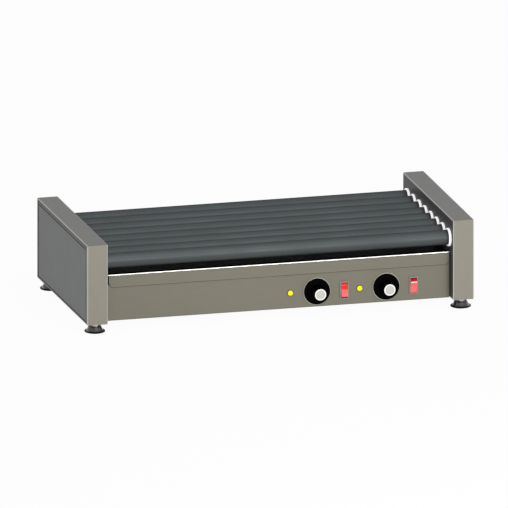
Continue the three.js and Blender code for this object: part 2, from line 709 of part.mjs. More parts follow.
// The chain is a channel: link plates on both sides of the teeth, joined
// outside the tooth tips.
function driveChain() {
  const centres = [
    [rollerYs[0], ROLLER_AXIS_Z],
    [IDLER_Y, IDLER_Z],
    [DRIVE_Y, DRIVE_Z],
    [rollerYs[ROLLER_COUNT - 1], ROLLER_AXIS_Z],
  ];
  const inner = [SPROCKET_X - CHAIN_SIDE_GAP, SPROCKET_END_X + CHAIN_SIDE_GAP];
  const outer = [inner[0] - CHAIN_PLATE_THICKNESS, inner[1] + CHAIN_PLATE_THICKNESS];
  return cut(
    extrudedAlongX(loopOutline(centres, CHAIN_OUTER_RADIUS), outer),
    extrudedAlongX(loopOutline(centres, CHAIN_INNER_RADIUS), [outer[0] - OVERLAP, outer[1] + OVERLAP]),
    extrudedAlongX(loopOutline(centres, SPROCKET_TIP_RADIUS + CHAIN_TIP_GAP), inner),
  );
}

rollerYs.forEach((y, i) => piece(`roller_sprocket_${i + 1}`, rollerSprocket(y), chainSteel));
piece('drive_sprocket', boredSprocket(DRIVE_Y, DRIVE_Z, MOTOR_SHAFT_RADIUS + GAP), chainSteel);
piece('idler_sprocket', boredSprocket(IDLER_Y, IDLER_Z, IDLER_AXLE_RADIUS + ROLLER_RUNNING_GAP), chainSteel);
piece('drive_chain', driveChain(), chainSteel);

// ---------------------------------------------------------- motor and idler
// The gear motor hangs on the left housing's inner wall, under the drip tray,
// with its boss through the wall.
function gearMotor() {
  const plateX = [INNER_LEFT + GAP, INNER_LEFT + GAP + MOTOR_PLATE_THICKNESS];
  const body = rod('x', [0, DRIVE_Y, MOTOR_Z], MOTOR_RADIUS, [plateX[0], plateX[1] + MOTOR_LENGTH]);
  const plate = block(
    plateX,
    [DRIVE_Y - MOTOR_PLATE_HALF_WIDTH, DRIVE_Y + MOTOR_PLATE_HALF_WIDTH],
    [MOTOR_Z - MOTOR_PLATE_HALF_HEIGHT, MOTOR_Z + MOTOR_PLATE_HALF_HEIGHT],
  );
  const boss = rod(
    'x', [0, DRIVE_Y, DRIVE_Z], MOTOR_BOSS_RADIUS,
    [INNER_LEFT - MOTOR_BOSS_LENGTH, plateX[1]], SMALL_ROUND,
  );
  const bore = rod(
    'x', [0, DRIVE_Y, DRIVE_Z], MOTOR_SHAFT_RADIUS + 2 * GAP,
    [0, INNER_LEFT + MOTOR_BORE_DEPTH], SMALL_ROUND,
  );
  return cut(add(body, plate, boss), bore);
}

function motorShaft() {
  const ends = [SPROCKET_X - CHAIN_PLATE_THICKNESS - MOTOR_SHAFT_PROUD, INNER_LEFT + MOTOR_SHAFT_DEPTH];
  return rod('x', [0, DRIVE_Y, DRIVE_Z], MOTOR_SHAFT_RADIUS, ends, SMALL_ROUND);
}

// A shouldered axle: a head and a collar keep the idler in line, and a stud
// passes through the wall into a nut.
function idlerAxle() {
  const hubEnd = SPROCKET_END_X + SPROCKET_HUB_REACH + GAP;
  const hubStart = SPROCKET_X - CHAIN_PLATE_THICKNESS - GAP;
  const wallFace = INNER_LEFT - SHEET - GAP;
  return turned('x', [0, IDLER_Y, IDLER_Z], [
    [hubStart - IDLER_HEAD_THICKNESS, 0],
    [hubStart - IDLER_HEAD_THICKNESS, IDLER_HEAD_RADIUS],
    [hubStart, IDLER_HEAD_RADIUS],
    [hubStart, IDLER_AXLE_RADIUS],
    [hubEnd, IDLER_AXLE_RADIUS],
    [hubEnd, IDLER_COLLAR_RADIUS],
    [wallFace, IDLER_COLLAR_RADIUS],
    [wallFace, IDLER_STUD_RADIUS],
    [INNER_LEFT + GAP, IDLER_STUD_RADIUS],
    [INNER_LEFT + GAP, IDLER_COLLAR_RADIUS],
    [INNER_LEFT + GAP + IDLER_COLLAR_THICKNESS, IDLER_COLLAR_RADIUS],
    [INNER_LEFT + GAP + IDLER_COLLAR_THICKNESS, 0],
  ], SMALL_ROUND);
}

piece('gear_motor', gearMotor(), motorPaint);
piece('motor_shaft', motorShaft(), zincSteel);
piece('idler_axle', idlerAxle(), zincSteel);

// ----------------------------------------------------------------- heaters
// One bank heats four rollers: four rods run through the rollers from a
// terminal bar, which two legs hold off the right housing's inner wall.
function heaterBank(first) {
  const ys = rollerYs.slice(first, first + HEATERS_PER_BANK);
  const bar = [WIDTH - HEATER_BAR_FROM_FACE - HEATER_BAR_THICKNESS, WIDTH - HEATER_BAR_FROM_FACE];
  const halfPitch = ROLLER_PITCH / 2;
  const halfLeg = halfPitch - BUSH_BARREL_RADIUS - HEATER_LEG_TO_BUSH;
  const low = Math.max(ys[0] - halfPitch, SHEET) + GAP;
  const high = Math.min(ys[ys.length - 1] + halfPitch, DEPTH - SHEET) - GAP;
  const rods = ys.map((y) => rod(
    'x', [0, y, ROLLER_AXIS_Z], HEATER_RADIUS,
    [END_BAR_FROM_FACE - HEATER_TAIL, bar[1] + HEATER_TERMINAL_LENGTH], THIN_ROUND,
  ));
  const legs = [ys[0] + halfPitch, ys[ys.length - 1] - halfPitch].map((y) => block(
    [INNER_RIGHT + SHEET + GAP, bar[0] + GAP],
    [y - halfLeg, y + halfLeg],
    [ROLLER_AXIS_Z - HEATER_BAR_HALF_HEIGHT, ROLLER_AXIS_Z + HEATER_BAR_HALF_HEIGHT],
  ));
  const plate = block(
    bar, [low, high],
    [ROLLER_AXIS_Z - HEATER_BAR_HALF_HEIGHT, ROLLER_AXIS_Z + HEATER_BAR_HALF_HEIGHT],
  );
  return add(plate, ...rods, ...legs);
}

// A drilled bar across the left housing steadies the free ends of the rods.
function heaterEndBar() {
  const bar = block(
    [END_BAR_FROM_FACE, END_BAR_FROM_FACE + END_BAR_THICKNESS],
    [SHEET + GAP, DEPTH - SHEET - GAP],
    [ROLLER_AXIS_Z - HEATER_BAR_HALF_HEIGHT, ROLLER_AXIS_Z + HEATER_BAR_HALF_HEIGHT],
  );
  const holes = rollerYs.map((y) => rod(
    'x', [0, y, ROLLER_AXIS_Z], END_BAR_HOLE_RADIUS, [0, HOUSING_WIDTH], THIN_ROUND,
  ));
  return cut(bar, ...holes);
}

piece('front_heater_bank', heaterBank(0), heaterSheath);
piece('rear_heater_bank', heaterBank(HEATERS_PER_BANK), heaterSheath);
piece('heater_end_bar', heaterEndBar(), innerSteel);

// ---------------------------------------------------------------- controls
// A skirted knob on its spindle: the grip tapers to a round cap.
function knob(x) {
  const back = PANEL_FRONT_Y - KNOB_STANDOFF;
  const disc = back - KNOB_SKIRT_THICKNESS;
  const tip = disc - KNOB_GRIP_LENGTH;
  return turned('y', [x, 0, CONTROL_Z], [
    [tip, 0],
    [tip, KNOB_CAP_RADIUS],
    [tip + KNOB_CAP_BEVEL, KNOB_GRIP_TIP_RADIUS],
    [disc, KNOB_GRIP_BASE_RADIUS],
    [disc, KNOB_SKIRT_RADIUS],
    [back, KNOB_SKIRT_RADIUS],
    [back, SPINDLE_RADIUS],
    [back + SPINDLE_LENGTH, SPINDLE_RADIUS],
    [back + SPINDLE_LENGTH, 0],
  ]);
}

function thermostat(x) {
  const face = PANEL_FRONT_Y + SHEET + GAP;
  const body = block(
    [x - THERMOSTAT_HALF_WIDTH, x + THERMOSTAT_HALF_WIDTH],
    [face, face + THERMOSTAT_DEPTH],
    [CONTROL_Z - THERMOSTAT_HALF_HEIGHT, CONTROL_Z + THERMOSTAT_HALF_HEIGHT],
  );
  const neck = rod(
    'y', [x, 0, CONTROL_Z], THERMOSTAT_NECK_RADIUS, [PANEL_FRONT_Y, face + OVERLAP], SMALL_ROUND,
  );
  const bore = rod(
    'y', [x, 0, CONTROL_Z], SPINDLE_RADIUS + SPINDLE_CLEARANCE,
    [0, PANEL_FRONT_Y + SPINDLE_LENGTH + SPINDLE_CLEARANCE], SMALL_ROUND,
  );
  return cut(add(body, neck), bore);
}

function lamp(x) {
  const back = PANEL_FRONT_Y - GAP;
  const rimY = back - LAMP_LENS_THICKNESS;
  return turned('y', [x, 0, CONTROL_Z], [
    [rimY, 0],
    [rimY, LAMP_BODY_RADIUS],
    [rimY + LAMP_LENS_RADIUS - LAMP_BODY_RADIUS, LAMP_LENS_RADIUS],
    [back, LAMP_LENS_RADIUS],
    [back, LAMP_BODY_RADIUS],
    [back + LAMP_BODY_LENGTH, LAMP_BODY_RADIUS],
    [back + LAMP_BODY_LENGTH, 0],
  ], SMALL_ROUND);
}

function switchHousing(x) {
  const front = PANEL_FRONT_Y - GAP - SWITCH_BEZEL_THICKNESS;
  const halfWidth = SWITCH_WIDTH / 2;
  const halfHeight = SWITCH_HEIGHT / 2;
  const bezel = block(
    [x - halfWidth, x + halfWidth],
    [front, PANEL_FRONT_Y - GAP],
    [SWITCH_Z - halfHeight, SWITCH_Z + halfHeight],
  );
  const body = block(
    [x - halfWidth + SWITCH_BEZEL_LIP, x + halfWidth - SWITCH_BEZEL_LIP],
    [front + GAP, PANEL_FRONT_Y + SWITCH_BODY_DEPTH],
    [SWITCH_Z - halfHeight + SWITCH_BEZEL_LIP, SWITCH_Z + halfHeight - SWITCH_BEZEL_LIP],
  );
  const pocketWidth = ROCKER_WIDTH / 2 + ROCKER_SIDE_GAP;
  const pocketHeight = ROCKER_LENGTH / 2 + ROCKER_END_GAP;
  const pocket = block(
    [x - pocketWidth, x + pocketWidth],
    [front - OVERLAP, front + SWITCH_POCKET_DEPTH],
    [SWITCH_Z - pocketHeight, SWITCH_Z + pocketHeight],
  );
  const pinHole = rod(
    'x', [x, ROCKER_PIVOT_Y, SWITCH_Z], ROCKER_PIN_RADIUS + GAP,
    [-halfWidth, halfWidth], THIN_ROUND,
  );
  return cut(add(bezel, body), pocket, pinHole);
}

// The rocker's face is two flats that meet in a shallow V: the pressed half
// lies level with the bezel and the other half stands out. tilt is the angle
// at rest, in degrees about +X: negative where the upper end is pressed in.
function rocker(x, tilt) {
  const half = ROCKER_LENGTH / 2;
  const throwAngle = THREE.MathUtils.degToRad(ROCKER_THROW_DEG);
  const valley = -SWITCH_BEZEL_THICKNESS - GAP - ROCKER_PIVOT_DEPTH;
  const rise = half * Math.tan(throwAngle);
  const shape = outline([
    [valley - rise, half],
    [valley, 0],
    [valley - rise, -half],
    [ROCKER_BACK_DEPTH - ROCKER_BACK_CROWN, -half + ROCKER_TAPER],
    [ROCKER_BACK_DEPTH, 0],
    [ROCKER_BACK_DEPTH - ROCKER_BACK_CROWN, half - ROCKER_TAPER],
  ]);
  const halfWidth = ROCKER_WIDTH / 2;
  const paddle = extrudedAlongX(shape, [-halfWidth, halfWidth]);
  const pin = rod(
    'x', [0, 0, 0], ROCKER_PIN_RADIUS,
    [-halfWidth - ROCKER_PIN_LENGTH, halfWidth + ROCKER_PIN_LENGTH], THIN_ROUND,
  );
  return add(paddle, pin).rotate([tilt, 0, 0]).translate([x, ROCKER_PIVOT_Y, SWITCH_Z]);
}

['left', 'right'].forEach((side, i) => {
  const x = KNOB_XS[i];
  const tilt = side === 'left' ? -ROCKER_THROW_DEG : ROCKER_THROW_DEG;
  piece(`${side}_knob`, knob(x), blackPlastic);
  piece(`${side}_thermostat`, thermostat(x), innerSteel);
  piece(`${side}_lamp`, lamp(x - LAMP_FROM_KNOB), yellowLens);
  piece(`${side}_switch_housing`, switchHousing(x + SWITCH_FROM_KNOB), greyPlastic);
  piece(`${side}_rocker`, rocker(x + SWITCH_FROM_KNOB, tilt), redPlastic);
});

// -------------------------------------------------------------------- feet
// A levelling foot: a wide cone with a spanner hex and a stud through the
// housing's floor.
function foot(x, y) {
  const hexBase = -FOOT_NUT_GAP - FOOT_NUT_HEIGHT;
  const cone = turned('z', [x, y, 0], [
    [-FOOT_HEIGHT, 0],
    [-FOOT_HEIGHT, FOOT_RADIUS],
    [-FOOT_HEIGHT + FOOT_RIM_HEIGHT, FOOT_RADIUS],
    [hexBase, FOOT_NECK_RADIUS],
    [hexBase, 0],
  ]);
  const hexRadius = FOOT_NUT_ACROSS_FLATS / Math.sqrt(3);
  const hex = rod('z', [x, y, 0], hexRadius, [hexBase - OVERLAP, -FOOT_NUT_GAP], HEX_SIDES);
  const stud = rod(
    'z', [x, y, 0], FOOT_STUD_RADIUS, [hexBase, FOOT_STUD_LENGTH - FOOT_NUT_GAP], SMALL_ROUND,
  );
  return add(cone, hex, stud);
}

for (const side of ['left', 'right']) {
  const x = across(side, HOUSING_WIDTH / 2);
  const [front, rear] = footYs();
  piece(`${side}_front_foot`, foot(x, front), blackPlastic);
  piece(`${side}_rear_foot`, foot(x, rear), blackPlastic);
}

// ------------------------------------------------------------- mains inlet
function cableGland() {
  const face = PANEL_REAR_Y + GAP;
  const nutFace = PANEL_REAR_Y - SHEET - GAP;
  return turned('y', [WIDTH - GLAND_FROM_RIGHT, 0, GLAND_Z], [
    [nutFace - GLAND_NUT_THICKNESS, GLAND_BORE_RADIUS],
    [nutFace - GLAND_NUT_THICKNESS, GLAND_FLANGE_RADIUS],
    [nutFace, GLAND_FLANGE_RADIUS],
    [nutFace, GLAND_THREAD_RADIUS],
    [face, GLAND_THREAD_RADIUS],
    [face, GLAND_FLANGE_RADIUS],
    [face + GLAND_FLANGE_THICKNESS, GLAND_FLANGE_RADIUS],
    [face + GLAND_FLANGE_THICKNESS, GLAND_DOME_RADIUS],
    [face + GLAND_LENGTH - GLAND_DOME_BEVEL, GLAND_DOME_RADIUS],
    [face + GLAND_LENGTH, GLAND_DOME_RADIUS - GLAND_DOME_BEVEL],
    [face + GLAND_LENGTH, GLAND_BORE_RADIUS],
  ], SMALL_ROUND);
}

function terminalBlock() {
  const top = PLATE_TOP_Z + TERMINAL_BLOCK_HEIGHT;
  const x0 = WIDTH - GLAND_FROM_RIGHT - TERMINAL_BLOCK_LENGTH / 2;
  const y0 = PANEL_REAR_Y - TERMINAL_BLOCK_FROM_REAR;
  const y1 = y0 + TERMINAL_BLOCK_WIDTH;
  const body = block([x0, x0 + TERMINAL_BLOCK_LENGTH], [y0, y1], [PLATE_TOP_Z, top]);
  const way = TERMINAL_BLOCK_LENGTH / TERMINAL_WAYS;
  const wells = Array.from({ length: TERMINAL_WAYS }, (_, i) => block(
    [x0 + i * way + TERMINAL_SIDE_WALL, x0 + (i + 1) * way - TERMINAL_SIDE_WALL],
    [y0 + TERMINAL_END_WALL, y1 - TERMINAL_END_WALL],
    [top - TERMINAL_WELL_DEPTH, top + OVERLAP],
  ));
  return cut(body, ...wells);
}

piece('cable_gland', cableGland(), blackPlastic);
piece('terminal_block', terminalBlock(), ceramic);

const grill = new THREE.Group();
grill.add(assembly);

export default grill;
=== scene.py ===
"""Hot dog roller grill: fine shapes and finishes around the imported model, in metres.

Sheet pieces are folded from thin stock with real bend radii and mitred corners,
turned pieces are lathed, and screws and chain links are set out by Geometry
Nodes. Every position comes from the frame's boxes and a few named sizes.
"""

import math

import bpy
import bmesh
from mathutils import Matrix, Vector


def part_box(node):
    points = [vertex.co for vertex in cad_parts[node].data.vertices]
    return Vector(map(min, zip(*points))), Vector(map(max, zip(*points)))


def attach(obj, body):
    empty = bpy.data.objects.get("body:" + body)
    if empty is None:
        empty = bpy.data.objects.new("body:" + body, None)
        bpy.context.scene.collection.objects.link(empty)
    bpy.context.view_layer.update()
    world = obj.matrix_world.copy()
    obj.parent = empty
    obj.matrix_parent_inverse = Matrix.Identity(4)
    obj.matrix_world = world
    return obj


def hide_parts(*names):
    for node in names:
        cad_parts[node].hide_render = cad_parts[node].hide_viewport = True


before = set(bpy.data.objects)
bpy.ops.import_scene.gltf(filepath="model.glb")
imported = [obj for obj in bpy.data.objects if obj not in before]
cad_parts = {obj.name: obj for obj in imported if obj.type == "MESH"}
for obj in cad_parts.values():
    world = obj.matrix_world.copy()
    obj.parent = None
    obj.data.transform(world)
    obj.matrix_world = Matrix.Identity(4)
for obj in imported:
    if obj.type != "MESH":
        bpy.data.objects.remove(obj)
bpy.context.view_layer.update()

# ---- sizes
MM = 0.001
SHEET = 1.2 * MM
BEND = 1.5 * MM                  # outer radius of a fold
FOLD_START = 0.6 * MM            # a folded side starts this far before its bend
SEAM = 0.22 * MM                 # half of the gap at a mitred corner
GAP = 0.3 * MM
EDGE_BREAK = 0.15 * MM
BARELY = 0.02 * MM               # keeps two faces from sharing one place
RETURN_FLANGE = 3.4 * MM
COVER_CORNER = 1.6 * MM
PANEL_FLANGE = 14 * MM
PLATE_CORNER = 3 * MM
BUSH_LIP = 1.2 * MM
BUSH_STRIP_THICKNESS = 3 * MM
LEFT_RING_SET_BACK = 2.2 * MM
ROLLER_WALL = 1 * MM
TRAY_CORNER = 9 * MM
TRAY_EDGE = 0.55 * MM            # the face plate's broken edge
TRAY_BRIDGE_DROP = 14 * MM       # how far the bridge hangs down into the pan
TRAY_LEFT_REACH = 1.3 * MM
TRAY_HEM_OVERHANG = 0.4 * MM
HEM_BEND = 1.3 * MM
PAN_WALL = 1 * MM
PAN_CORNER = 7 * MM
PAN_FLOOR_RADIUS = 3 * MM
CHAIN_PITCH = 9.525 * MM
CHAIN_ROLLER = 3.175 * MM
SPROCKET_TEETH = 10
SPROCKET_PITCH_RADIUS = CHAIN_PITCH / (2 * math.sin(math.pi / SPROCKET_TEETH))
SPROCKET_TIP_RADIUS = SPROCKET_PITCH_RADIUS + 1.8 * MM
SPROCKET_THICKNESS = 5 * MM
HEATER_PASSAGE = 6.5 * MM
ROUND = 64
SMALL_ROUND = 32
ARC = 5
FLUTE_STEPS = 6
HEX_EDGE = 0.5 * MM
SMOOTH_BELOW = math.radians(32)
SQUARE_ON = 0.996                # a normal this much along an axis is on a flat
ON_EDGE = 0.3                    # and one below this share stands across it

ROLLERS = range(1, 9)
SIDES = ("left", "right")


# ---- outlines
def rounded(corners, closed=True, steps=ARC):
    """Corners (a, b) or (a, b, radius) become a path whose bends are arcs."""
    count = len(corners)
    path = []
    for i, corner in enumerate(corners):
        here = Vector(corner[:2])
        radius = corner[2] if len(corner) > 2 else 0
        if radius <= 0 or (not closed and i in (0, count - 1)):
            path.append(tuple(here))
            continue
        back = Vector(corners[i - 1][:2]) - here
        ahead = Vector(corners[(i + 1) % count][:2]) - here
        half = back.angle(ahead) / 2
        run = radius / math.tan(half)
        middle = here + (back.normalized() + ahead.normalized()).normalized() * radius / math.sin(half)
        start = here + back.normalized() * run - middle
        turn = here + ahead.normalized() * run - middle
        sweep = math.atan2(start.cross(turn), start.dot(turn))
        for step in range(steps + 1):
            spin = Matrix.Rotation(sweep * step / steps, 2)
            path.append(tuple(middle + spin @ start))
    return path


def oblong(a0, a1, b0, b1, radius, steps=ARC):
    """A rectangle with round corners."""
    return rounded([(a0, b0, radius), (a1, b0, radius), (a1, b1, radius), (a0, b1, radius)], steps=steps)


def circle(a, b, radius, sides=ROUND, phase=0.0):
    """A ring of points. A phase keeps neighbouring rings from lining up."""
    turns = [2 * math.pi * (i + phase) / sides for i in range(sides)]
    return [(a + radius * math.cos(t), b + radius * math.sin(t)) for t in turns]


def sheet_profile(path, thickness=SHEET, bend=BEND):
    """The closed section of a sheet that is folded along a path of (a, b) points.

    The path is the outer face, and the sheet lies to its left."""
    outer = [Vector(p) for p in path]
    inner = []
    for i, point in enumerate(outer):
        steps = []
        if i > 0:
            steps.append((point - outer[i - 1]).normalized())
        if i < len(outer) - 1:
            steps.append((outer[i + 1] - point).normalized())
        sideways = [Vector((-s.y, s.x)) for s in steps]
        whole = sum(sideways, Vector((0, 0)))
        share = 1 if len(steps) == 1 else 1 + sideways[0].dot(sideways[1])
        inner.append(point + whole * thickness / share)
    outside = [(p.x, p.y, bend) for p in outer]
    inside = [(p.x, p.y, bend - thickness) for p in inner]
    return rounded(outside, closed=False) + rounded(inside, closed=False)[::-1]


# ---- scene helpers
def linked(name, data):
    """A new object in the scene."""
    obj = bpy.data.objects.new(name, data)
    bpy.context.scene.collection.objects.link(obj)
    return obj


def result_of(obj):
    """What an object's modifiers or curve settings make of it, as a new mesh."""
    evaluated = obj.evaluated_get(bpy.context.evaluated_depsgraph_get())
    return bpy.data.meshes.new_from_object(evaluated)


def closed_line(curve, spots):
    """Adds a closed line with straight sides to a curve."""
    spline = curve.splines.new("POLY")
    spline.points.add(len(spots) - 1)
    for point, spot in zip(spline.points, spots):
        point.co = (*spot, 1)
    spline.use_cyclic_u = True


# ---- shapes
# A shape is its points and its faces. Places are functions from the shape's
# own (a, b, c) to a point in the frame.
def merged(*shapes):
    points, faces = [], []
    for more_points, more_faces in shapes:
        base = len(points)
        points += more_points
        faces += [tuple(base + i for i in face) for face in more_faces]
    return points, faces


def lofted(rings, capped=True, looped=False):
    """Joins rings of equally many points, and closes the first and last."""
    points = [tuple(p) for ring in rings for p in ring]
    size = len(rings[0])
    faces = []
    for k in range(len(rings) if looped else len(rings) - 1):
        low, high = k * size, ((k + 1) % len(rings)) * size
        for i in range(size):
            j = (i + 1) % size
            faces.append((low + i, low + j, high + j, high + i))
    if capped and not looped:
        faces.append(tuple(range(size))[::-1])
        faces.append(tuple(range((len(rings) - 1) * size, len(rings) * size)))
    return points, faces


def swept(section, place, start, end):
    """A straight bar of a closed section, where start and end give c for each (a, b)."""
    return lofted([[place(a, b, cut(a, b)) for a, b in section] for cut in (start, end)])


AXES = {
    "x": lambda origin: lambda along, side, up: (origin[0] + along, origin[1] + side, origin[2] + up),
    "y": lambda origin: lambda along, side, up: (origin[0] + up, origin[1] + along, origin[2] + side),
    "z": lambda origin: lambda along, side, up: (origin[0] + side, origin[1] + up, origin[2] + along),
}


def turned(axis, origin, profile, sides=ROUND):
    """A lathed solid: the profile's corners are (along, radius, fillet)."""
    place = AXES[axis](origin)
    path = rounded(profile, closed=profile[0][1] > 0, steps=3)
    solid = path[0][1] <= 0
    ends = (path[0], path[-1])
    rims = path[1:-1] if solid else path
    rings = [[place(along, *p) for p in circle(0, 0, radius, sides)] for along, radius in rims]
    if not solid:
        return lofted(rings, looped=True)
    points, faces = lofted(rings, capped=False)
    last = len(points) - sides
    for (along, _), base in zip(ends, (0, last)):
        points.append(place(along, 0, 0))
        pole = len(points) - 1
        faces += [(pole, base + i, base + (i + 1) % sides) for i in range(sides)]
    return points, faces


def rod(axis, origin, radius, start, end, fillet=0.4 * MM, sides=SMALL_ROUND):
    return turned(axis, origin, [(start, 0), (start, radius, fillet), (end, radius, fillet), (end, 0)], sides)


BLOCK_CORNER = 1.4               # a block's upright corners, by its edge radius


def block(x, y, z, radius=0.6 * MM, along="y"):
    """A box with round edges. Four of its corners turn about the given axis."""
    spans = {"x": (y, z, x), "y": (z, x, y), "z": (x, y, z)}[along]
    back = {
        "x": lambda a, b, c: (c, a, b),
        "y": lambda a, b, c: (b, c, a),
        "z": lambda a, b, c: (a, b, c),
    }[along]
    (a0, a1), (b0, b1), (c0, c1) = spans
    quarter = [radius * math.sin(math.pi / 2 * k / 3) for k in range(4)]
    insets = [radius - q for q in quarter]
    drops = [radius - radius * math.cos(math.pi / 2 * k / 3) for k in range(4)]
    levels = [(i, c0 + d) for i, d in zip(insets, drops)] + [(i, c1 - d) for i, d in zip(insets, drops)][::-1]
    rings = []
    for inset, c in levels:
        ring = oblong(a0 + inset, a1 - inset, b0 + inset, b1 - inset, radius * BLOCK_CORNER - inset)
        rings.append([back(a, b, c) for a, b in ring])
    return lofted(rings)


def fluted(place, levels, count, depth, sharpness=1):
    """Rings with shallow grooves. A level is (along, radius, share of the depth)."""
    steps = count * FLUTE_STEPS
    rings = []
    for along, radius, share in levels:
        ring = []
        for k in range(steps):
            angle = 2 * math.pi * k / steps
            groove = (0.5 + 0.5 * math.cos(angle * count)) ** sharpness
            reach = radius - depth * share * groove
            ring.append(place(along, reach * math.cos(angle), reach * math.sin(angle)))
        rings.append(ring)
    return lofted(rings)


def hexagon(place, radius, low, high, chamfer):
    """A spanner hexagon whose ends shrink to a share of its radius."""
    rings = []
    for along, share in ((low, chamfer), (low + HEX_EDGE, 1.0), (high - HEX_EDGE, 1.0), (high, chamfer)):
        corners = circle(0, 0, share * radius, 6)
        rings.append([place(along, *corner) for corner in corners])
    return lofted(rings)


def on_wall(x):
    """Places (a, b, c) upright across X, with c measured from x."""
    return lambda a, b, c: (x + c, a, b)


def cut_plate(outline, holes, place, thickness, edge=EDGE_BREAK):
    """A flat plate from c = 0 to c = thickness, with holes and broken edges."""
    curve = bpy.data.curves.new("outline", "CURVE")
    curve.dimensions = "2D"
    curve.fill_mode = "BOTH"
    curve.extrude = thickness / 2 - edge
    curve.bevel_depth = edge
    curve.bevel_resolution = 0
    curve.offset = -edge
    for loop in [outline, *holes]:
        closed_line(curve, [(a, b, 0) for a, b in loop])
    shaper = linked("outline", curve)
    mesh = result_of(shaper)
    points = [place(v.co.x, v.co.y, v.co.z + thickness / 2) for v in mesh.vertices]
    faces = [tuple(p.vertices) for p in mesh.polygons]
    bpy.data.objects.remove(shaper)
    bpy.data.curves.remove(curve)
    bpy.data.meshes.remove(mesh)
    return points, faces


def folded_pan(a, b, place, path, holes=()):
    """A face plate with four sides folded back from it, mitred at the corners.

    The path runs from the plate outward, as (depth, inset from the edge)."""
    join = path[0][1]
    (a0, a1), (b0, b1) = a, b
    left, right, bottom, top = a0 + join, a1 - join, b0 + join, b1 - join
    outline = [(left, bottom), (right, bottom), (right, top), (left, top)]
    plate = cut_plate(outline, holes, place, SHEET, edge=BARELY)
    section = sheet_profile(path)
    walls = [
        (lambda depth, inset, run: place(run, b0 + inset, depth), a0, a1),
        (lambda depth, inset, run: place(run, b1 - inset, depth), a0, a1),
        (lambda depth, inset, run: place(a0 + inset, run, depth), b0, b1),
        (lambda depth, inset, run: place(a1 - inset, run, depth), b0, b1),
    ]
    sides = []
    for spot, start, end in walls:
        mitres = (
            lambda _, inset, s=start: s + inset + SEAM,
            lambda _, inset, e=end: e - inset - SEAM,
        )
        sides.append(swept(section, spot, *mitres))
    return merged(plate, *sides)


def drilled(shape, drills):
    """The shape with round rods taken out of it."""
    pieces = [as_object("blank", [(shape, None)], tidy=False)]
    pieces += [as_object("drill", [(drill, None)], tidy=False) for drill in drills]
    for drill in pieces[1:]:
        bore = pieces[0].modifiers.new("bore", "BOOLEAN")
        bore.object = drill
        bore.operation = "DIFFERENCE"
        bore.solver = "EXACT"
    mesh = result_of(pieces[0])
    result = [tuple(v.co) for v in mesh.vertices], [tuple(p.vertices) for p in mesh.polygons]
    for used in pieces:
        bpy.data.objects.remove(used)
    bpy.data.meshes.remove(mesh)
    return result


# ---- making pieces
SAME_SPOT = 1e-7
NO_LENGTH = 1e-8


def as_object(name, parts, tidy=True):
    """One mesh of several (shape, material) parts, smooth below a fold's angle."""
    mesh = bpy.data.meshes.new(name)
    points, faces = merged(*[shape for shape, _ in parts])
    mesh.from_pydata(points, [], faces)
    slots = []
    for _, material in parts:
        if material is not None and material not in slots:
            slots.append(material)
            mesh.materials.append(material)
    indices = []
    for (_, part_faces), material in parts:
        indices += [slots.index(material) if material in slots else 0] * len(part_faces)
    mesh.polygons.foreach_set("material_index", indices)
    work = bmesh.new()
    work.from_mesh(mesh)
    bmesh.ops.remove_doubles(work, verts=work.verts, dist=SAME_SPOT)
    bmesh.ops.dissolve_degenerate(work, edges=work.edges, dist=NO_LENGTH)
    bmesh.ops.recalc_face_normals(work, faces=work.faces)
    work.to_mesh(mesh)
    work.free()
    obj = linked(name, mesh)
    if tidy:
        mesh.shade_smooth()
        mesh.set_sharp_from_angle(angle=SMOOTH_BELOW)
    return obj


def weighted(obj):
    """Bakes in normals that keep large flats flat beside their round edges."""
    settle = obj.modifiers.new("flats", "WEIGHTED_NORMAL")
    settle.keep_sharp = True
    settle.weight = 100
    mesh = result_of(obj)
    obj.modifiers.clear()
    old = obj.data
    obj.data = mesh
    bpy.data.meshes.remove(old)
    mesh.name = obj.name
    return obj


def surface_where(mesh, surface, test):
    """Gives the faces whose normal passes a test their own surface."""
    mesh.materials.append(surface)
    last = len(mesh.materials) - 1
    for face in mesh.polygons:
        if test(face.normal):
            face.material_index = last


def is_fold(normal):
    return max(abs(c) for c in normal) < SQUARE_ON


def fitted(name, parts, body, slot, *nodes, surfaces=()):
    """A finished piece that rides on a body and may stand for some nodes."""
    obj = as_object(name, parts)
    for surface, test in surfaces:
        surface_where(obj.data, surface, test)
    obj = weighted(obj)
    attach(obj, body)
    if nodes:
        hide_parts(*nodes)
    return obj


# ---- materials
def node(tree, kind, inputs=None, **settings):
    made = tree.nodes.new(kind)
    for name, value in settings.items():
        setattr(made, name, value)
    for name, value in (inputs or {}).items():
        if isinstance(value, bpy.types.NodeSocket):
            tree.links.new(value, made.inputs[name])
        else:
            made.inputs[name].default_value = value
    return made


def srgb(*levels):
    """A colour from 0 to 255 levels, as the shader's linear values."""
    shares = [level / 255 for level in levels]
    return tuple(s / 12.92 if s <= 0.04045 else ((s + 0.055) / 1.055) ** 2.4 for s in shares) + (1.0,)


def scaled(colour, share):
    return tuple(min(1.0, c * share) for c in colour[:3]) + (1.0,)


def noise(tree, coordinates, stretch, detail=4.0, roughness=0.6):
    """Noise whose grain is 1 / stretch metres along each axis."""
    mapped = node(tree, "ShaderNodeMapping", {"Vector": coordinates, "Scale": stretch})
    return node(tree, "ShaderNodeTexNoise", {
        "Vector": mapped.outputs["Vector"], "Scale": 1.0, "Detail": detail, "Roughness": roughness,
    }).outputs["Fac"]


def spread(tree, value, low, high, from_low=0.3, from_high=0.7):
    return node(tree, "ShaderNodeMapRange", {
        "Value": value, "From Min": from_low, "From Max": from_high, "To Min": low, "To Max": high,
    }).outputs["Result"]


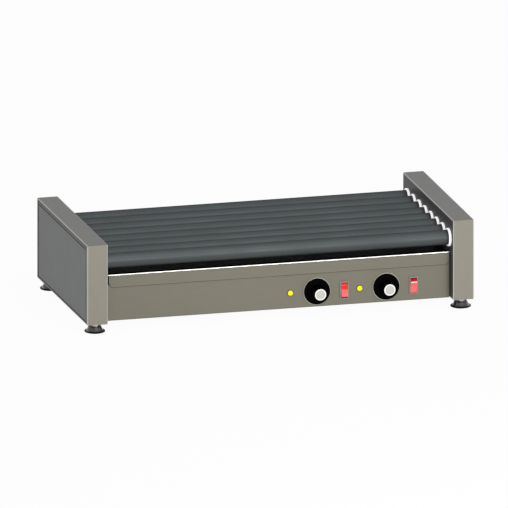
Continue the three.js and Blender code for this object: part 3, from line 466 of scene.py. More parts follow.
def mixed(tree, factor, first, second):
    blend = node(tree, "ShaderNodeMix", {"Factor": factor}, data_type="RGBA")
    for index, value in ((6, first), (7, second)):
        if isinstance(value, bpy.types.NodeSocket):
            tree.links.new(value, blend.inputs[index])
        else:
            blend.inputs[index].default_value = value
    return blend.outputs[2]


GRIME = (0.02, 0.018, 0.015, 1.0)
# Painted shade: the colour and strength the rollers darken to beside the right bushes.
END_SHADE_COLOUR = (0.01, 0.01, 0.01, 1.0)
END_SHADE_STRENGTH = 0.55


def finish(name, colour, metallic, roughness, grain, tint=0.10, rough=0.06, bump=0.25, depth=0.02 * MM,
           cloud=18.0, cloud_tint=0.03, wear=0.0, specks=0.0, across=None, front=None, ends=None,
           **constants):
    """A surface with fine grain, slow clouds of tone, and worn edges.

    Colours are srgb levels, and grain is the stretch of the fine noise. Faces
    that look along Y may have their own stretch (across) and colour (front); the
    front colour is painted light, warmer and brighter where the lamps fall.
    Between the two X positions (ends) painted shade darkens the surface."""
    colour = srgb(*colour)
    material = bpy.data.materials.new(name)
    material.use_nodes = True
    tree = material.node_tree
    shader = tree.nodes["Principled BSDF"]
    shader.inputs["Metallic"].default_value = metallic
    for socket, value in constants.items():
        shader.inputs[socket.replace("_", " ")].default_value = value
    place = node(tree, "ShaderNodeTexCoord")
    coordinates = place.outputs["Object"]
    fine = noise(tree, coordinates, grain)
    if across:
        along = node(tree, "ShaderNodeSeparateXYZ", {"Vector": place.outputs["Normal"]}).outputs["Y"]
        facing = node(tree, "ShaderNodeMath", {0: along}, operation="ABSOLUTE").outputs[0]
        other = noise(tree, coordinates, across)
        picked = node(tree, "ShaderNodeMix", {0: facing, 2: fine, 3: other})
        fine = picked.outputs[0]
    slow = noise(tree, coordinates, (cloud, cloud, cloud), detail=2.0)
    tone = mixed(tree, spread(tree, fine, 0.0, 1.0), scaled(colour, 1 - tint), scaled(colour, 1 + tint))
    # painted light: faces that look along Y take the warmer, brighter front colour
    if front:
        front = srgb(*front)
        front_lit_tone = mixed(tree, spread(tree, fine, 0.0, 1.0), scaled(front, 1 - tint), scaled(front, 1 + tint))
        tone = mixed(tree, facing, tone, front_lit_tone)
    shaded = mixed(tree, spread(tree, slow, 0.0, cloud_tint), tone, GRIME)
    if specks:
        spots = noise(tree, coordinates, (900, 900, 900), detail=1.0)
        shaded = mixed(tree, spread(tree, spots, 0.0, specks, 0.62, 0.70), shaded, scaled(colour, 1.6))
    # painted shade, darker between the two X positions
    if ends:
        reach = node(tree, "ShaderNodeSeparateXYZ", {"Vector": coordinates}).outputs["X"]
        end_shade = spread(tree, reach, 0.0, END_SHADE_STRENGTH, *ends)
        shaded = mixed(tree, end_shade, shaded, END_SHADE_COLOUR)
    if wear:
        edges = node(tree, "ShaderNodeNewGeometry").outputs["Pointiness"]
        worn = spread(tree, edges, 0.0, wear, 0.52, 0.62)
        shaded = mixed(tree, worn, shaded, scaled(colour, 1.7))
    tree.links.new(shaded, shader.inputs["Base Color"])
    gloss = node(tree, "ShaderNodeMath", {
        0: spread(tree, fine, roughness - rough, roughness + rough),
        1: spread(tree, slow, -rough, rough),
    }, operation="ADD")
    tree.links.new(gloss.outputs[0], shader.inputs["Roughness"])
    if bump:
        relief = node(tree, "ShaderNodeBump", {"Strength": bump, "Distance": depth, "Height": fine})
        tree.links.new(relief.outputs["Normal"], shader.inputs["Normal"])
    return material


FINE = 2600.0
# The rollers' painted shade, where the right bushes shade them.
ROLLER_SHADE_SPAN = (288.5 * MM, 293.5 * MM)   # X, just inside the right bushes
EDGE_TINT = (0.2, 0.2, 0.2, 1.0)
DEEP_EDGE_TINT = (0.05, 0.05, 0.05, 1.0)
SHEET_GLOSS = {"Specular_Tint": EDGE_TINT, "Specular_IOR_Level": 0.1}
# Its front colour is painted light: the fronts warmer and brighter than the tops and sides.
housing_steel = finish("housing_steel", (147, 147, 145), 0.5, 0.40, (FINE, 30, FINE), tint=0.07,
                       across=(FINE, FINE, 30), front=(152, 148, 138), **SHEET_GLOSS)
cover_steel = finish("cover_steel", (144, 145, 146), 0.5, 0.42, (30, 30, FINE), tint=0.05, **SHEET_GLOSS)
# Painted highlight: the bends are painted brighter than the housing's own steel, for the light they catch.
fold_steel = finish("fold_steel", (198, 196, 190), 0.5, 0.34, (FINE, 30, FINE), tint=0.05, **SHEET_GLOSS)
# Painted shade: the housings' inner walls, the same sheet, painted darker for the shade and dark rollers they
# face.
wall_steel = finish("wall_steel", (101, 101, 103), 0.45, 0.42, (30, 30, FINE), tint=0.05, rough=0.03,
                    bump=0.1, Specular_Tint=EDGE_TINT)
panel_steel = finish("panel_steel", (131, 128, 117), 0.5, 0.42, (25, FINE, FINE), tint=0.07, **SHEET_GLOSS)
mirror_steel = finish("mirror_steel", (112, 110, 104), 1.0, 0.12, (25, FINE, FINE), tint=0.03, rough=0.02,
                      bump=0, Specular_Tint=DEEP_EDGE_TINT)
# Painted shade: a dark tone for gaps and broken edges where shade falls between parts.
seam_steel = finish("seam_steel", (44, 44, 41), 0.3, 0.6, (900, 900, 900), tint=0.1, bump=0,
                    Specular_IOR_Level=0.1)
inner_steel = finish("inner_steel", (141, 144, 146), 0.6, 0.42, (60, 60, 1200), tint=0.08)
# Painted highlight: the tray's hem is near-white, brighter than the sheet it is folded from.
bright_edge = finish("bright_edge", (252, 250, 244), 1.0, 0.25, (900, FINE, FINE), tint=0.02, bump=0,
                     cloud_tint=0.0)
roller_steel = finish("roller_steel", (86, 91, 93), 0.58, 0.47, (FINE, 40, 40), tint=0.08, cloud=9.0,
                      cloud_tint=0.06, ends=ROLLER_SHADE_SPAN, Specular_Tint=DEEP_EDGE_TINT,
                      Specular_IOR_Level=0.05)
chain_steel = finish("chain_steel", (85, 88, 90), 0.8, 0.34, (700, 700, 700), tint=0.12, wear=0.5)
zinc_steel = finish("zinc_steel", (185, 188, 188), 0.85, 0.3, (500, 500, 500), tint=0.06, wear=0.3)
pan_coating = finish("pan_coating", (13, 13, 12), 0.0, 0.6, (800, 800, 800), tint=0.2, specks=0.12,
                     bump=0.5, depth=0.05 * MM, Specular_IOR_Level=0.15)
heater_sheath = finish("heater_sheath", (106, 111, 102), 0.7, 0.5, (FINE, 90, 90), tint=0.15, cloud=40,
                       cloud_tint=0.25)
motor_paint = finish("motor_paint", (58, 61, 64), 0.2, 0.45, (700, 700, 700), tint=0.1, bump=0.4,
                     depth=0.05 * MM, wear=0.3)


def moulded(name, colour, roughness, size, tint, metallic=0.0, **more):
    """Plastic, rubber or ceramic, with the same grain every way."""
    return finish(name, colour, metallic, roughness, (size, size, size), tint=tint, **more)


# Emission: the pilot lamp's real light for its lens; for every other material a painted glow.
def lamp_or_painted_glow(colour, strength):
    return {"Emission_Color": colour, "Emission_Strength": strength}


WHITE = (1, 1, 1, 1)
# The bushes and lamp barrel glow though they are no lamps: a painted glow that keeps them white in shade.
white_plastic = moulded("white_plastic", (254, 254, 252), 0.18, 400, 0.01, cloud_tint=0.0,
                        Coat_Weight=1.0, **lamp_or_painted_glow(WHITE, 0.5))
black_plastic = moulded("black_plastic", (1, 1, 1), 0.5, 1500, 0.3, bump=0.4, depth=0.03 * MM,
                        Specular_IOR_Level=0.02)
foot_rubber = moulded("foot_rubber", (8, 8, 8), 0.4, 900, 0.25, bump=0.3, depth=0.04 * MM,
                      Specular_IOR_Level=0.12)
cone_rubber = moulded("cone_rubber", (28, 28, 28), 0.2, 900, 0.2, rough=0.04, bump=0.1,
                      Specular_IOR_Level=0.5, Coat_Weight=0.7, Coat_Roughness=0.06)
grey_plastic = moulded("grey_plastic", (160, 161, 157), 0.4, 1200, 0.04, bump=0.3)
cap_plastic = moulded("cap_plastic", (222, 221, 216), 0.42, 1200, 0.02, bump=0.3, cloud_tint=0.0)
# The knob cap's rim glows though it is no lamp: painted light.
rim_plastic = moulded("rim_plastic", (255, 255, 253), 0.3, 1200, 0.01, cloud_tint=0.0,
                      Coat_Weight=0.5, **lamp_or_painted_glow(WHITE, 0.2))
ring_metal = moulded("ring_metal", (205, 205, 200), 0.3, 1200, 0.02, metallic=0.6, cloud_tint=0.0)
ceramic = moulded("ceramic", (228, 223, 210), 0.35, 600, 0.03, Coat_Weight=0.3)
yellow_lens = moulded("yellow_lens", (250, 246, 0), 0.25, 500, 0.02, cloud_tint=0.0,
                      Specular_IOR_Level=0.25, **lamp_or_painted_glow(srgb(255, 255, 0), 0.45))
# Painted shade: the lamp's dark olive collar stands for the shaded rim round the lit lens.
collar_plastic = moulded("collar_plastic", (78, 78, 40), 0.4, 900, 0.05, cloud_tint=0.0)
# Painted shade: a darker red for the right rocker's upper end.
nose_red = moulded("nose_red", (188, 8, 34), 0.3, 900, 0.03, cloud_tint=0.0, Specular_IOR_Level=0.2)
# Painted highlight: the glowing near-white line on the right rocker's upper edge.
ridge_pink = moulded("ridge_pink", (255, 240, 240), 0.25, 900, 0.02, cloud_tint=0.0,
                     **lamp_or_painted_glow(srgb(255, 225, 225), 0.35))


def lamp_lit_red_painted_light(name, rocker_name, stops):
    """Red plastic with a lamp behind it. Its tone up the paddle is painted light: pink for the highlight
    where the paddle faces the lamps, saturated red elsewhere.
    """
    low, high = (corner.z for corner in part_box(rocker_name))
    material = moulded(name, (216, 38, 42), 0.3, 900, 0.03, Coat_Weight=0.15, Emission_Strength=0.18)
    tree = material.node_tree
    shader = tree.nodes["Principled BSDF"]
    height = node(tree, "ShaderNodeSeparateXYZ", {
        "Vector": node(tree, "ShaderNodeTexCoord").outputs["Object"],
    }).outputs["Z"]
    rise = spread(tree, height, 0.0, 1.0, low, high)
    ramp = node(tree, "ShaderNodeValToRGB", {"Fac": rise})
    marks = ramp.color_ramp.elements
    marks[0].position, marks[0].color = stops[0]
    marks[1].position, marks[1].color = stops[-1]
    for position, colour in stops[1:-1]:
        marks.new(position).color = colour
    tree.links.new(ramp.outputs["Color"], shader.inputs["Base Color"])
    tree.links.new(ramp.outputs["Color"], shader.inputs["Emission Color"])
    return material


# Painted light on the rockers: each paddle has its own lit and shaded tones.
HIGHLIGHT_PINK = srgb(248, 108, 108)
rocker_reds_painted_light = {
    "left": lamp_lit_red_painted_light("left_red", "left_rocker", [
        (0.10, srgb(248, 104, 104)), (0.40, srgb(250, 92, 94)),
        (0.54, srgb(244, 34, 38)), (0.64, srgb(236, 8, 10)),
    ]),
    "right": lamp_lit_red_painted_light("right_red", "right_rocker", [
        (0.05, srgb(246, 104, 106)), (0.6, HIGHLIGHT_PINK), (0.85, HIGHLIGHT_PINK),
    ]),
}


# ---- geometry
def middle_of(name):
    low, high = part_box(name)
    return (low + high) / 2


def half_of(name):
    low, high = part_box(name)
    return (high - low) / 2


def extent(name):
    """A node's low and high corners and its middle."""
    return (*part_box(name), middle_of(name))


roller_spots = [middle_of(f"roller_{i}") for i in ROLLERS]
ROLLER_RADIUS = half_of("roller_1").z
BUSH_RING_RADIUS = half_of("right_bush_1").z
BUSH_BARREL_RADIUS = BUSH_RING_RADIUS - BUSH_LIP
BUSH_BORE = ROLLER_RADIUS + 0.4 * MM
AXIS_Z = roller_spots[0].z
foot_spots = {f"{s}_{e}": middle_of(f"{s}_{e}_foot") for s in SIDES for e in ("front", "rear")}
FOOT_STUD_RADIUS = 3.9 * MM
PANEL_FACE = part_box("front_panel")[0].y
REAR_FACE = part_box("rear_panel")[1].y
LEFT_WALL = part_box("left_housing")[1].x    # the left housing's inner face
RIGHT_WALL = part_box("right_housing")[0].x


MOTOR_BOSS = 6 * MM
AXLE_SCREW = 3 * MM
WIRE_HOLE = (60 * MM, 32 * MM, 9 * MM)   # along, up, radius


def housing(side):
    low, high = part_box(f"{side}_housing")
    inner = high.x if side == "left" else low.x
    outward = -1 if side == "left" else 1
    width = high.x - low.x
    hole_radius = (BUSH_RING_RADIUS if side == "left" else BUSH_BARREL_RADIUS) + GAP
    holes = [circle(spot.y, spot.z, hole_radius) for spot in roller_spots]
    if side == "left":
        for name, radius in (("motor_shaft", MOTOR_BOSS + GAP), ("idler_axle", AXLE_SCREW + GAP)):
            spot = middle_of(name)
            holes.append(circle(spot.y, spot.z, radius))
    else:
        holes.append(circle(low.y + WIRE_HOLE[0], low.z + WIRE_HOLE[1], WIRE_HOLE[2]))
    join = BEND + FOLD_START
    path = [(0, join), (0, 0), (width, 0), (width, RETURN_FLANGE)]
    spans = (low.y, high.y), (low.z, high.z)
    shell = folded_pan(*spans, lambda a, b, c: (inner + outward * c, a, b), path, holes)
    studs = [
        rod("z", (spot.x, spot.y, low.z), FOOT_STUD_RADIUS + GAP, -2 * SHEET, 2 * SHEET)
        for name, spot in foot_spots.items() if name.startswith(side)
    ]
    # Painted light: the bends take the painted highlight, the inner walls the painted shade.
    painted_light_looks = [(fold_steel, is_fold), (wall_steel, lambda normal: normal.x * outward < -SQUARE_ON)]
    fitted(f"{side}_housing_shell", [(drilled(shell, studs), housing_steel)], "chassis", "housing_steel",
           f"{side}_housing", surfaces=painted_light_looks)


COVER_GAP = 1.4 * MM             # clear of the housing's return all round
COVER_END_GAP = 2 * MM           # and more at the front and rear ends
COVER_FOOT_SHARE = 0.3           # the lower border is narrower
COVER_BAND = 4.4 * MM            # where the band ends and the groove starts
COVER_BAND_DEPTH = 0.6 * MM
COVER_GROOVE = (1.5 * MM, 2.4 * MM)   # width and depth
COVER_SHOULDER = 0.7 * MM
COVER_FLAT = 6 * MM              # the flat's own ring starts this far in
COVER_LIP = (1.5 * MM, 1.8 * MM)      # how far the hidden lip reaches out, and its depth


def side_cover(side):
    low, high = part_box(f"{side}_side_cover")
    outer = low.x if side == "left" else high.x
    inward = 1 if side == "left" else -1
    depth = high.x - low.x
    groove = COVER_BAND + COVER_GROOVE[0]
    trough = COVER_GROOVE[1]
    flat = groove + COVER_SHOULDER
    wall = COVER_GAP + SHEET
    outside = rounded([
        (flat + COVER_FLAT, 0), (flat, 0, 0.6 * MM), (groove, 0.3 * MM, 0.2 * MM), (groove, trough),
        (COVER_BAND, trough), (COVER_BAND, 0.3 * MM, 0.25 * MM),
        (COVER_GAP, COVER_BAND_DEPTH, 0.4 * MM), (COVER_GAP, depth),
    ], closed=False)
    inside = rounded([
        (wall, depth), (wall, trough + SHEET, 0.4 * MM), (flat, trough + SHEET), (flat + SHEET, SHEET),
        (flat + COVER_FLAT, SHEET),
    ], closed=False)

    def ring(inset, c):
        ends = inset + (COVER_END_GAP if inset >= COVER_GAP else 0)
        foot_inset = inset * COVER_FOOT_SHARE
        loop = oblong(low.y + ends, high.y - ends, low.z + foot_inset, high.z - inset, COVER_CORNER)
        return [(outer + inward * c, a, b) for a, b in loop]

    # The hidden lip and the cover's walls across its gap are painted shade: dark lines round the cover.
    reach, lip = COVER_LIP
    hidden = COVER_GAP + SHEET / 2
    corners = ((-reach, lip), (-reach, lip + SHEET), (hidden, lip + SHEET), (hidden, lip))
    behind = lofted([ring(*corner) for corner in corners], looped=True)
    cover = lofted([ring(*spot) for spot in outside + inside])
    fitted(f"{side}_cover", [(cover, cover_steel), (behind, seam_steel)], "chassis", "housing_steel",
           f"{side}_side_cover", surfaces=[(seam_steel, lambda normal: abs(normal.x) < ON_EDGE)])


for side in SIDES:
    housing(side)
    side_cover(side)


# ---- panels
def panel(name, inward, holes):
    low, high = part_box(name)
    face = low.y if inward > 0 else high.y
    join = BEND + FOLD_START
    path = [(0, join), (0, 0), (PANEL_FLANGE, 0)]
    spans = (low.x, high.x), (low.z, high.z)
    shell = folded_pan(*spans, lambda a, b, c: (a, face + inward * c, b), path, holes)
    fitted(f"{name}_sheet", [(shell, panel_steel)], "chassis", "panel_steel", name)


NECK_RADIUS = 5 * MM             # the thermostats' threaded necks
SWITCH_LIP = 1 * MM              # a switch frame's overlap on the panel


def front_holes():
    holes = []
    for side in SIDES:
        for name, radius, phase in (("thermostat", NECK_RADIUS + GAP, 0.2), ("lamp", 4.3 * MM, 0.3)):
            spot = middle_of(f"{side}_{name}")
            holes.append(circle(spot.x, spot.z, radius, SMALL_ROUND, phase))
        spot = middle_of(f"{side}_switch_housing")
        half = half_of(f"{side}_switch_housing")
        width, height = half.x - SWITCH_LIP + GAP, half.z - SWITCH_LIP + GAP
        holes.append(oblong(spot.x - width, spot.x + width, spot.z - height, spot.z + height, 0.6 * MM))
    return holes


REAR_SLOT = (34 * MM, 4 * MM)
REAR_SLOT_FIRST = 93.7 * MM      # from the panel's left end
REAR_SLOT_APART = (46 * MM, 11 * MM)
REAR_SLOTS = (3, 4)              # columns and rows
BASE_SLOT = (5 * MM, 44 * MM)
BASE_SLOT_APART = (14 * MM, 108 * MM)
BASE_SLOTS = (8, 2)
SLOT_END = 0.49                  # the ends' radius, by the slot's width
GLAND_HOLE = 9.3 * MM


def rear_holes():
    low, _, centre = extent("rear_panel")
    gland = middle_of("cable_gland")
    holes = [circle(gland.x, gland.z, GLAND_HOLE, SMALL_ROUND)]
    length, height = REAR_SLOT
    columns, rows = REAR_SLOTS
    for column in range(columns):
        for row in range(rows):
            x = low.x + REAR_SLOT_FIRST + column * REAR_SLOT_APART[0]
            z = centre.z + (row - (rows - 1) / 2) * REAR_SLOT_APART[1]
            holes.append(oblong(x, x + length, z, z + height, height * SLOT_END))
    return holes


panel("front_panel", 1, front_holes())
panel("rear_panel", -1, rear_holes())


def bottom_plate():
    low, high, centre = extent("bottom_plate")
    width, length = BASE_SLOT
    columns, rows = BASE_SLOTS
    holes = []
    for row in range(rows):
        for column in range(columns):
            x = centre.x + (column - (columns - 1) / 2) * BASE_SLOT_APART[0]
            y = middle_of("left_housing").y + (row - (rows - 1) / 2) * BASE_SLOT_APART[1]
            slot = x - width / 2, x + width / 2, y - length / 2, y + length / 2
            holes.append(oblong(*slot, width * SLOT_END))
    outline = oblong(low.x, high.x, low.y, high.y, PLATE_CORNER)
    plate = cut_plate(outline, holes, lambda a, b, c: (a, b, low.z + c), high.z - low.z)
    fitted("base_plate", [(plate, inner_steel)], "chassis", "inner_steel", "bottom_plate")


bottom_plate()


# ---- drip tray
def tray_apron():
    low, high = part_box("tray_apron")
    top = high.z
    left = low.x - TRAY_LEFT_REACH
    join = HEM_BEND + 0.1 * MM
    outline = rounded([
        (left, low.z, TRAY_CORNER), (high.x, low.z, TRAY_CORNER), (high.x, top - join), (left, top - join),
    ], steps=2 * ARC)
    face = cut_plate(outline, [], lambda a, b, c: (a, low.y + c, b), SHEET, edge=TRAY_EDGE)

    def along_x(a, b, c):
        return c, a, b

    run = (lambda a, b: left - TRAY_HEM_OVERHANG, lambda a, b: high.x)
    fold = [(low.y + join, top), (low.y, top), (low.y, top - join)]
    bend = [(high.y, top - TRAY_BRIDGE_DROP), (high.y, top), (low.y + join + BARELY, top)]
    hem = swept(sheet_profile(fold, bend=HEM_BEND), along_x, *run)
    bridge = swept(sheet_profile(bend), along_x, *run)
    # The face plate's broken edges are painted shade: the dark line under the apron.
    fitted("tray_face", [(face, panel_steel)], "drip_tray", "panel_steel", "tray_apron",
           surfaces=[(seam_steel, lambda normal: abs(normal.y) < 0.9)])
    # The hem carries the painted highlight line.
    fitted("tray_hem", [(hem, bright_edge), (bridge, mirror_steel)], "drip_tray", "panel_steel")


def drip_pan():
    low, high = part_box("drip_pan")
    depth = high.z - low.z
    floor_radius = PAN_FLOOR_RADIUS - PAN_WALL
    outside = rounded([(PAN_CORNER, 0), (0, 0, PAN_FLOOR_RADIUS), (0, depth)], closed=False)
    inside = rounded([
        (PAN_WALL, depth), (PAN_WALL, PAN_WALL, floor_radius), (PAN_CORNER, PAN_WALL),
    ], closed=False)
    rings = []
    for inset, up in outside + inside:
        ring = oblong(low.x + inset, high.x - inset, low.y + inset, high.y - inset, PAN_CORNER - inset * 0.9)
        rings.append([(a, b, low.z + up) for a, b in ring])
    fitted("pan", [(lofted(rings), pan_coating)], "drip_tray", "pan_coating", "drip_pan")


tray_apron()
drip_pan()


# ---- rollers and bushes
def roller(i):
    low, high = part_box(f"roller_{i}")
    bore = ROLLER_RADIUS - ROLLER_WALL
    length = high.x - low.x
    tube = turned("x", (low.x, roller_spots[i - 1].y, AXIS_Z), [
        (0, bore, 0.2 * MM), (0, ROLLER_RADIUS, 0.4 * MM),
        (length, ROLLER_RADIUS, 0.4 * MM), (length, bore, 0.2 * MM),
    ])
    fitted(f"roller_tube_{i}", [(tube, roller_steel)], f"roller_{i}", "roller_steel", f"roller_{i}")


def right_bush(i):
    low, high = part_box(f"right_bush_{i}")
    length = high.x - low.x
    seat = RIGHT_WALL - low.x - GAP
    ring = turned("x", (low.x, roller_spots[i - 1].y, AXIS_Z), [
        (0, BUSH_BORE, 0.5 * MM), (0, BUSH_RING_RADIUS, 1.0 * MM), (seat, BUSH_RING_RADIUS, 0.2 * MM),
        (seat, BUSH_BARREL_RADIUS, 0.1 * MM), (length, BUSH_BARREL_RADIUS, 0.3 * MM),
        (length, BUSH_BORE, 0.3 * MM),
    ])
    fitted(f"bush_ring_{i}", [(ring, white_plastic)], "chassis", "white_plastic", f"right_bush_{i}")


def left_bushes():
    low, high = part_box("left_bush_strip")
    outline = oblong(low.y, high.y, low.z, high.z, PLATE_CORNER)
    holes = [circle(s.y, s.z, BUSH_RING_RADIUS - BARELY) for s in roller_spots]
    strip = cut_plate(outline, holes, on_wall(low.x), BUSH_STRIP_THICKNESS)
    length = high.x - low.x - LEFT_RING_SET_BACK
    rings = [turned("x", (low.x, s.y, AXIS_Z), [
        (0, BUSH_BORE, 0.3 * MM), (0, BUSH_RING_RADIUS, 0.1 * MM), (length, BUSH_RING_RADIUS, 1.0 * MM),
        (length, BUSH_BORE, 0.5 * MM),
    ]) for s in roller_spots]
    fitted("left_bushes", [(merged(strip, *rings), white_plastic)], "chassis", "white_plastic",
           "left_bush_strip")


for i in ROLLERS:
    roller(i)
    right_bush(i)
left_bushes()


# ---- sprockets and chain
HUB_RADIUS = 11 * MM


def heading(angle):
    return Vector((math.cos(angle), math.sin(angle)))


def toothed_outline(y, z):
    """Seats for the chain's rollers between rounded teeth."""
    step = 2 * math.pi / SPROCKET_TEETH
    middle = Vector((y, z))
    path = []
    for tooth in range(SPROCKET_TEETH):
        tip = tooth * step
        for share in (-0.07, 0.0, 0.07):
            path.append(tuple(middle + heading(tip + share * step) * SPROCKET_TIP_RADIUS))
        seat = tip + step / 2
        centre = middle + heading(seat) * SPROCKET_PITCH_RADIUS
        for k in range(7):
            angle = seat + math.radians(-110 - 140 * k / 6)
            path.append(tuple(centre + heading(angle) * CHAIN_ROLLER))
    return path


def sprocket(name, body, y, z, start, bore, hub, hub_start, hub_end, spigot=None):
    hole = circle(y, z, hub - 0.05 * MM)
    toothed = cut_plate(toothed_outline(y, z), [hole], on_wall(start), SPROCKET_THICKNESS, edge=0.4 * MM)
    profile = [(hub_start, bore, 0.3 * MM), (hub_start, hub, 0.5 * MM), (hub_end, hub, 0.4 * MM)]
    if spigot:
        profile += [(hub_end, spigot[0]), (spigot[1], spigot[0], 0.4 * MM), (spigot[1], bore, 0.3 * MM)]
    else:
        profile += [(hub_end, bore, 0.3 * MM)]
    boss = turned("x", (0, y, z), profile, SMALL_ROUND)
    fitted(f"{name}_wheel", [(merged(toothed, boss), chain_steel)], body, "chain_steel", name)


def all_sprockets():
    low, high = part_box("roller_sprocket_1")
    tube_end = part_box("roller_1")[0].x
    bore = ROLLER_RADIUS - ROLLER_WALL
    for i, spot in zip(ROLLERS, roller_spots):
        sprocket(f"roller_sprocket_{i}", f"roller_{i}", spot.y, spot.z, low.x, HEATER_PASSAGE, HUB_RADIUS,
                 low.x, tube_end - GAP, (bore - GAP, high.x))
    for name, body, bore in (("drive_sprocket", "drive", 3.8 * MM), ("idler_sprocket", "idler", 5.4 * MM)):
        low, high, spot = extent(name)
        sprocket(name, body, spot.y, spot.z, low.x + 1.5 * MM, bore, HUB_RADIUS, low.x, high.x)


all_sprockets()


LINK_WAIST = 0.72
LINK_HALF_WIDTH = 3.8 * MM
LINK_PLATE = 0.7 * MM
LINK_INSET = 0.8 * MM            # the inner link's plates lie this far inside the outer's


def link_plate(half_width, x, thickness):
    """A waisted link plate with two round ends, lying along Y."""
    path = []
    for side, turn in ((1, 0), (-1, math.pi)):
        for k in range(-4, 5):
            end = heading(turn + math.pi / 2 * k / 4) * half_width
            path.append((side * CHAIN_PITCH / 2 + end.x, end.y))
        path.append((0, side * half_width * LINK_WAIST))
    return lofted([[(c, a, b) for a, b in path] for c in (x, x + thickness)])


def chain_links():
    """The two kinds of link, each half a pitch either side of its middle."""
    span = half_of("drive_chain").x
    inside = span - LINK_INSET
    outer = [link_plate(LINK_HALF_WIDTH, x, LINK_PLATE) for x in (-span, span - LINK_PLATE)]
    inner = [link_plate(LINK_HALF_WIDTH, x, LINK_PLATE) for x in (-inside, inside - LINK_PLATE)]
    room = span - 2 * LINK_INSET
    for side in (-1, 1):
        seat = (0, side * CHAIN_PITCH / 2, 0)
        outer.append(rod("x", seat, 1.5 * MM, -span, span, 0.2 * MM, 12))
        inner.append(rod("x", seat, CHAIN_ROLLER - 0.1 * MM, -room, room, 0.2 * MM, 16))
    return merged(*outer), merged(*inner)


def chain_path():
    """Points round the outside of the four corner sprockets, at the pitch circle."""
    order = ["roller_sprocket_1", "idler_sprocket", "drive_sprocket", "roller_sprocket_8"]
    centres = [Vector((middle_of(n).y, middle_of(n).z)) for n in order]
    path = []
    for i, centre in enumerate(centres):
        before = centre - centres[i - 1]
        after = centres[(i + 1) % 4] - centre
        arrive = math.atan2(before.y, before.x) - math.pi / 2
        leave = math.atan2(after.y, after.x) - math.pi / 2
        while leave < arrive:
            leave += 2 * math.pi
        for k in range(13):
            angle = arrive + (leave - arrive) * k / 12
            path.append(centre + heading(angle) * SPROCKET_PITCH_RADIUS)
    return path


def group_input(tree, name, kind, value=None):
    made = tree.interface.new_socket(name=name, in_out="INPUT", socket_type=kind)
    if value is not None:
        made.default_value = value
    return made.identifier


def geometry_group(name):
    tree = bpy.data.node_groups.new(name, "GeometryNodeTree")
    tree.interface.new_socket(name="Geometry", in_out="INPUT", socket_type="NodeSocketGeometry")
    tree.interface.new_socket(name="Geometry", in_out="OUTPUT", socket_type="NodeSocketGeometry")
    return tree


def run_nodes(obj, tree, values):
    """Evaluates a node tree on an object and leaves its result as plain mesh."""
    maker = obj.modifiers.new(tree.name, "NODES")
    maker.node_group = tree
    for identifier, value in values.items():
        maker[identifier] = value
    obj.update_tag()
    bpy.context.view_layer.update()
    mesh = result_of(obj)
    name = obj.name
    bpy.data.objects.remove(obj)
    mesh.shade_smooth()
    mesh.set_sharp_from_angle(angle=SMOOTH_BELOW)
    return linked(name, mesh)


def closing_nodes(tree, source, material_name):
    """Realize Instances and Set Material, and the tree's way out."""
    real = node(tree, "GeometryNodeRealizeInstances", {"Geometry": source})
    painted = node(tree, "GeometryNodeSetMaterial", {
        "Geometry": real.outputs[0], "Material": bpy.data.materials[material_name],
    })
    node(tree, "NodeGroupOutput", {"Geometry": painted.outputs[0]})


def drive_chain():
    path = chain_path()
    loop = bpy.data.curves.new("drive_chain_links", "CURVE")
    loop.dimensions = "3D"
    x = middle_of("drive_chain").x
    closed_line(loop, [(x, *spot) for spot in path])
    runner = linked("drive_chain_links", loop)
    length = sum((path[i] - path[i - 1]).length for i in range(len(path)))
    links = [as_object(f"link_{k}", [(shape, chain_steel)]) for k, shape in enumerate(chain_links())]

    tree = geometry_group("links_along_loop")
    count_id = group_input(tree, "Links", "NodeSocketInt", 2)
    outer_id = group_input(tree, "Outer link", "NodeSocketObject")
    inner_id = group_input(tree, "Inner link", "NodeSocketObject")
    given = node(tree, "NodeGroupInput")
    points = node(tree, "GeometryNodeCurveToPoints", {
        "Curve": given.outputs["Geometry"], "Count": given.outputs["Links"],
    }, mode="COUNT")
    index = node(tree, "GeometryNodeInputIndex")
    odd = node(tree, "FunctionNodeIntegerMath", {0: index.outputs[0], 1: 2}, operation="MODULO")
    turn = node(tree, "FunctionNodeAlignRotationToVector", {
        "Vector": points.outputs["Tangent"],
    }, axis="Y", pivot_axis="X")
    shapes = []
    for name in ("Outer link", "Inner link"):
        shape = node(tree, "GeometryNodeObjectInfo", {"Object": given.outputs[name]})
        shapes.append(shape.outputs["Geometry"])
    both = node(tree, "GeometryNodeGeometryToInstance")
    for shape in reversed(shapes):
        tree.links.new(shape, both.inputs[0])
    placed = node(tree, "GeometryNodeInstanceOnPoints", {
        "Points": points.outputs["Points"], "Instance": both.outputs[0], "Pick Instance": True,
        "Instance Index": odd.outputs[0], "Rotation": turn.outputs[0],
    })
    closing_nodes(tree, placed.outputs[0], "chain_steel")
    count = 2 * round(length / CHAIN_PITCH / 2)
    chain = run_nodes(runner, tree, {count_id: count, outer_id: links[0], inner_id: links[1]})
    for used in links:
        bpy.data.objects.remove(used)
    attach(chain, "chassis")
    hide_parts("drive_chain")


drive_chain()


# ---- motor, idler, heat
MOTOR_PLATE = 2 * MM
MOTOR_PLATE_HALF = 18 * MM
MOTOR_SCREW_REACH = 33 * MM      # the motor's two screws, either side of its middle
MOTOR_TAB_REACH = 8 * MM
AXLE_HEAD = 9 * MM
HEATER_ROD = 4 * MM
HEATER_BAR_DEPTH = 16 * MM       # from the right housing's outer face
HEATER_BAR = 3 * MM


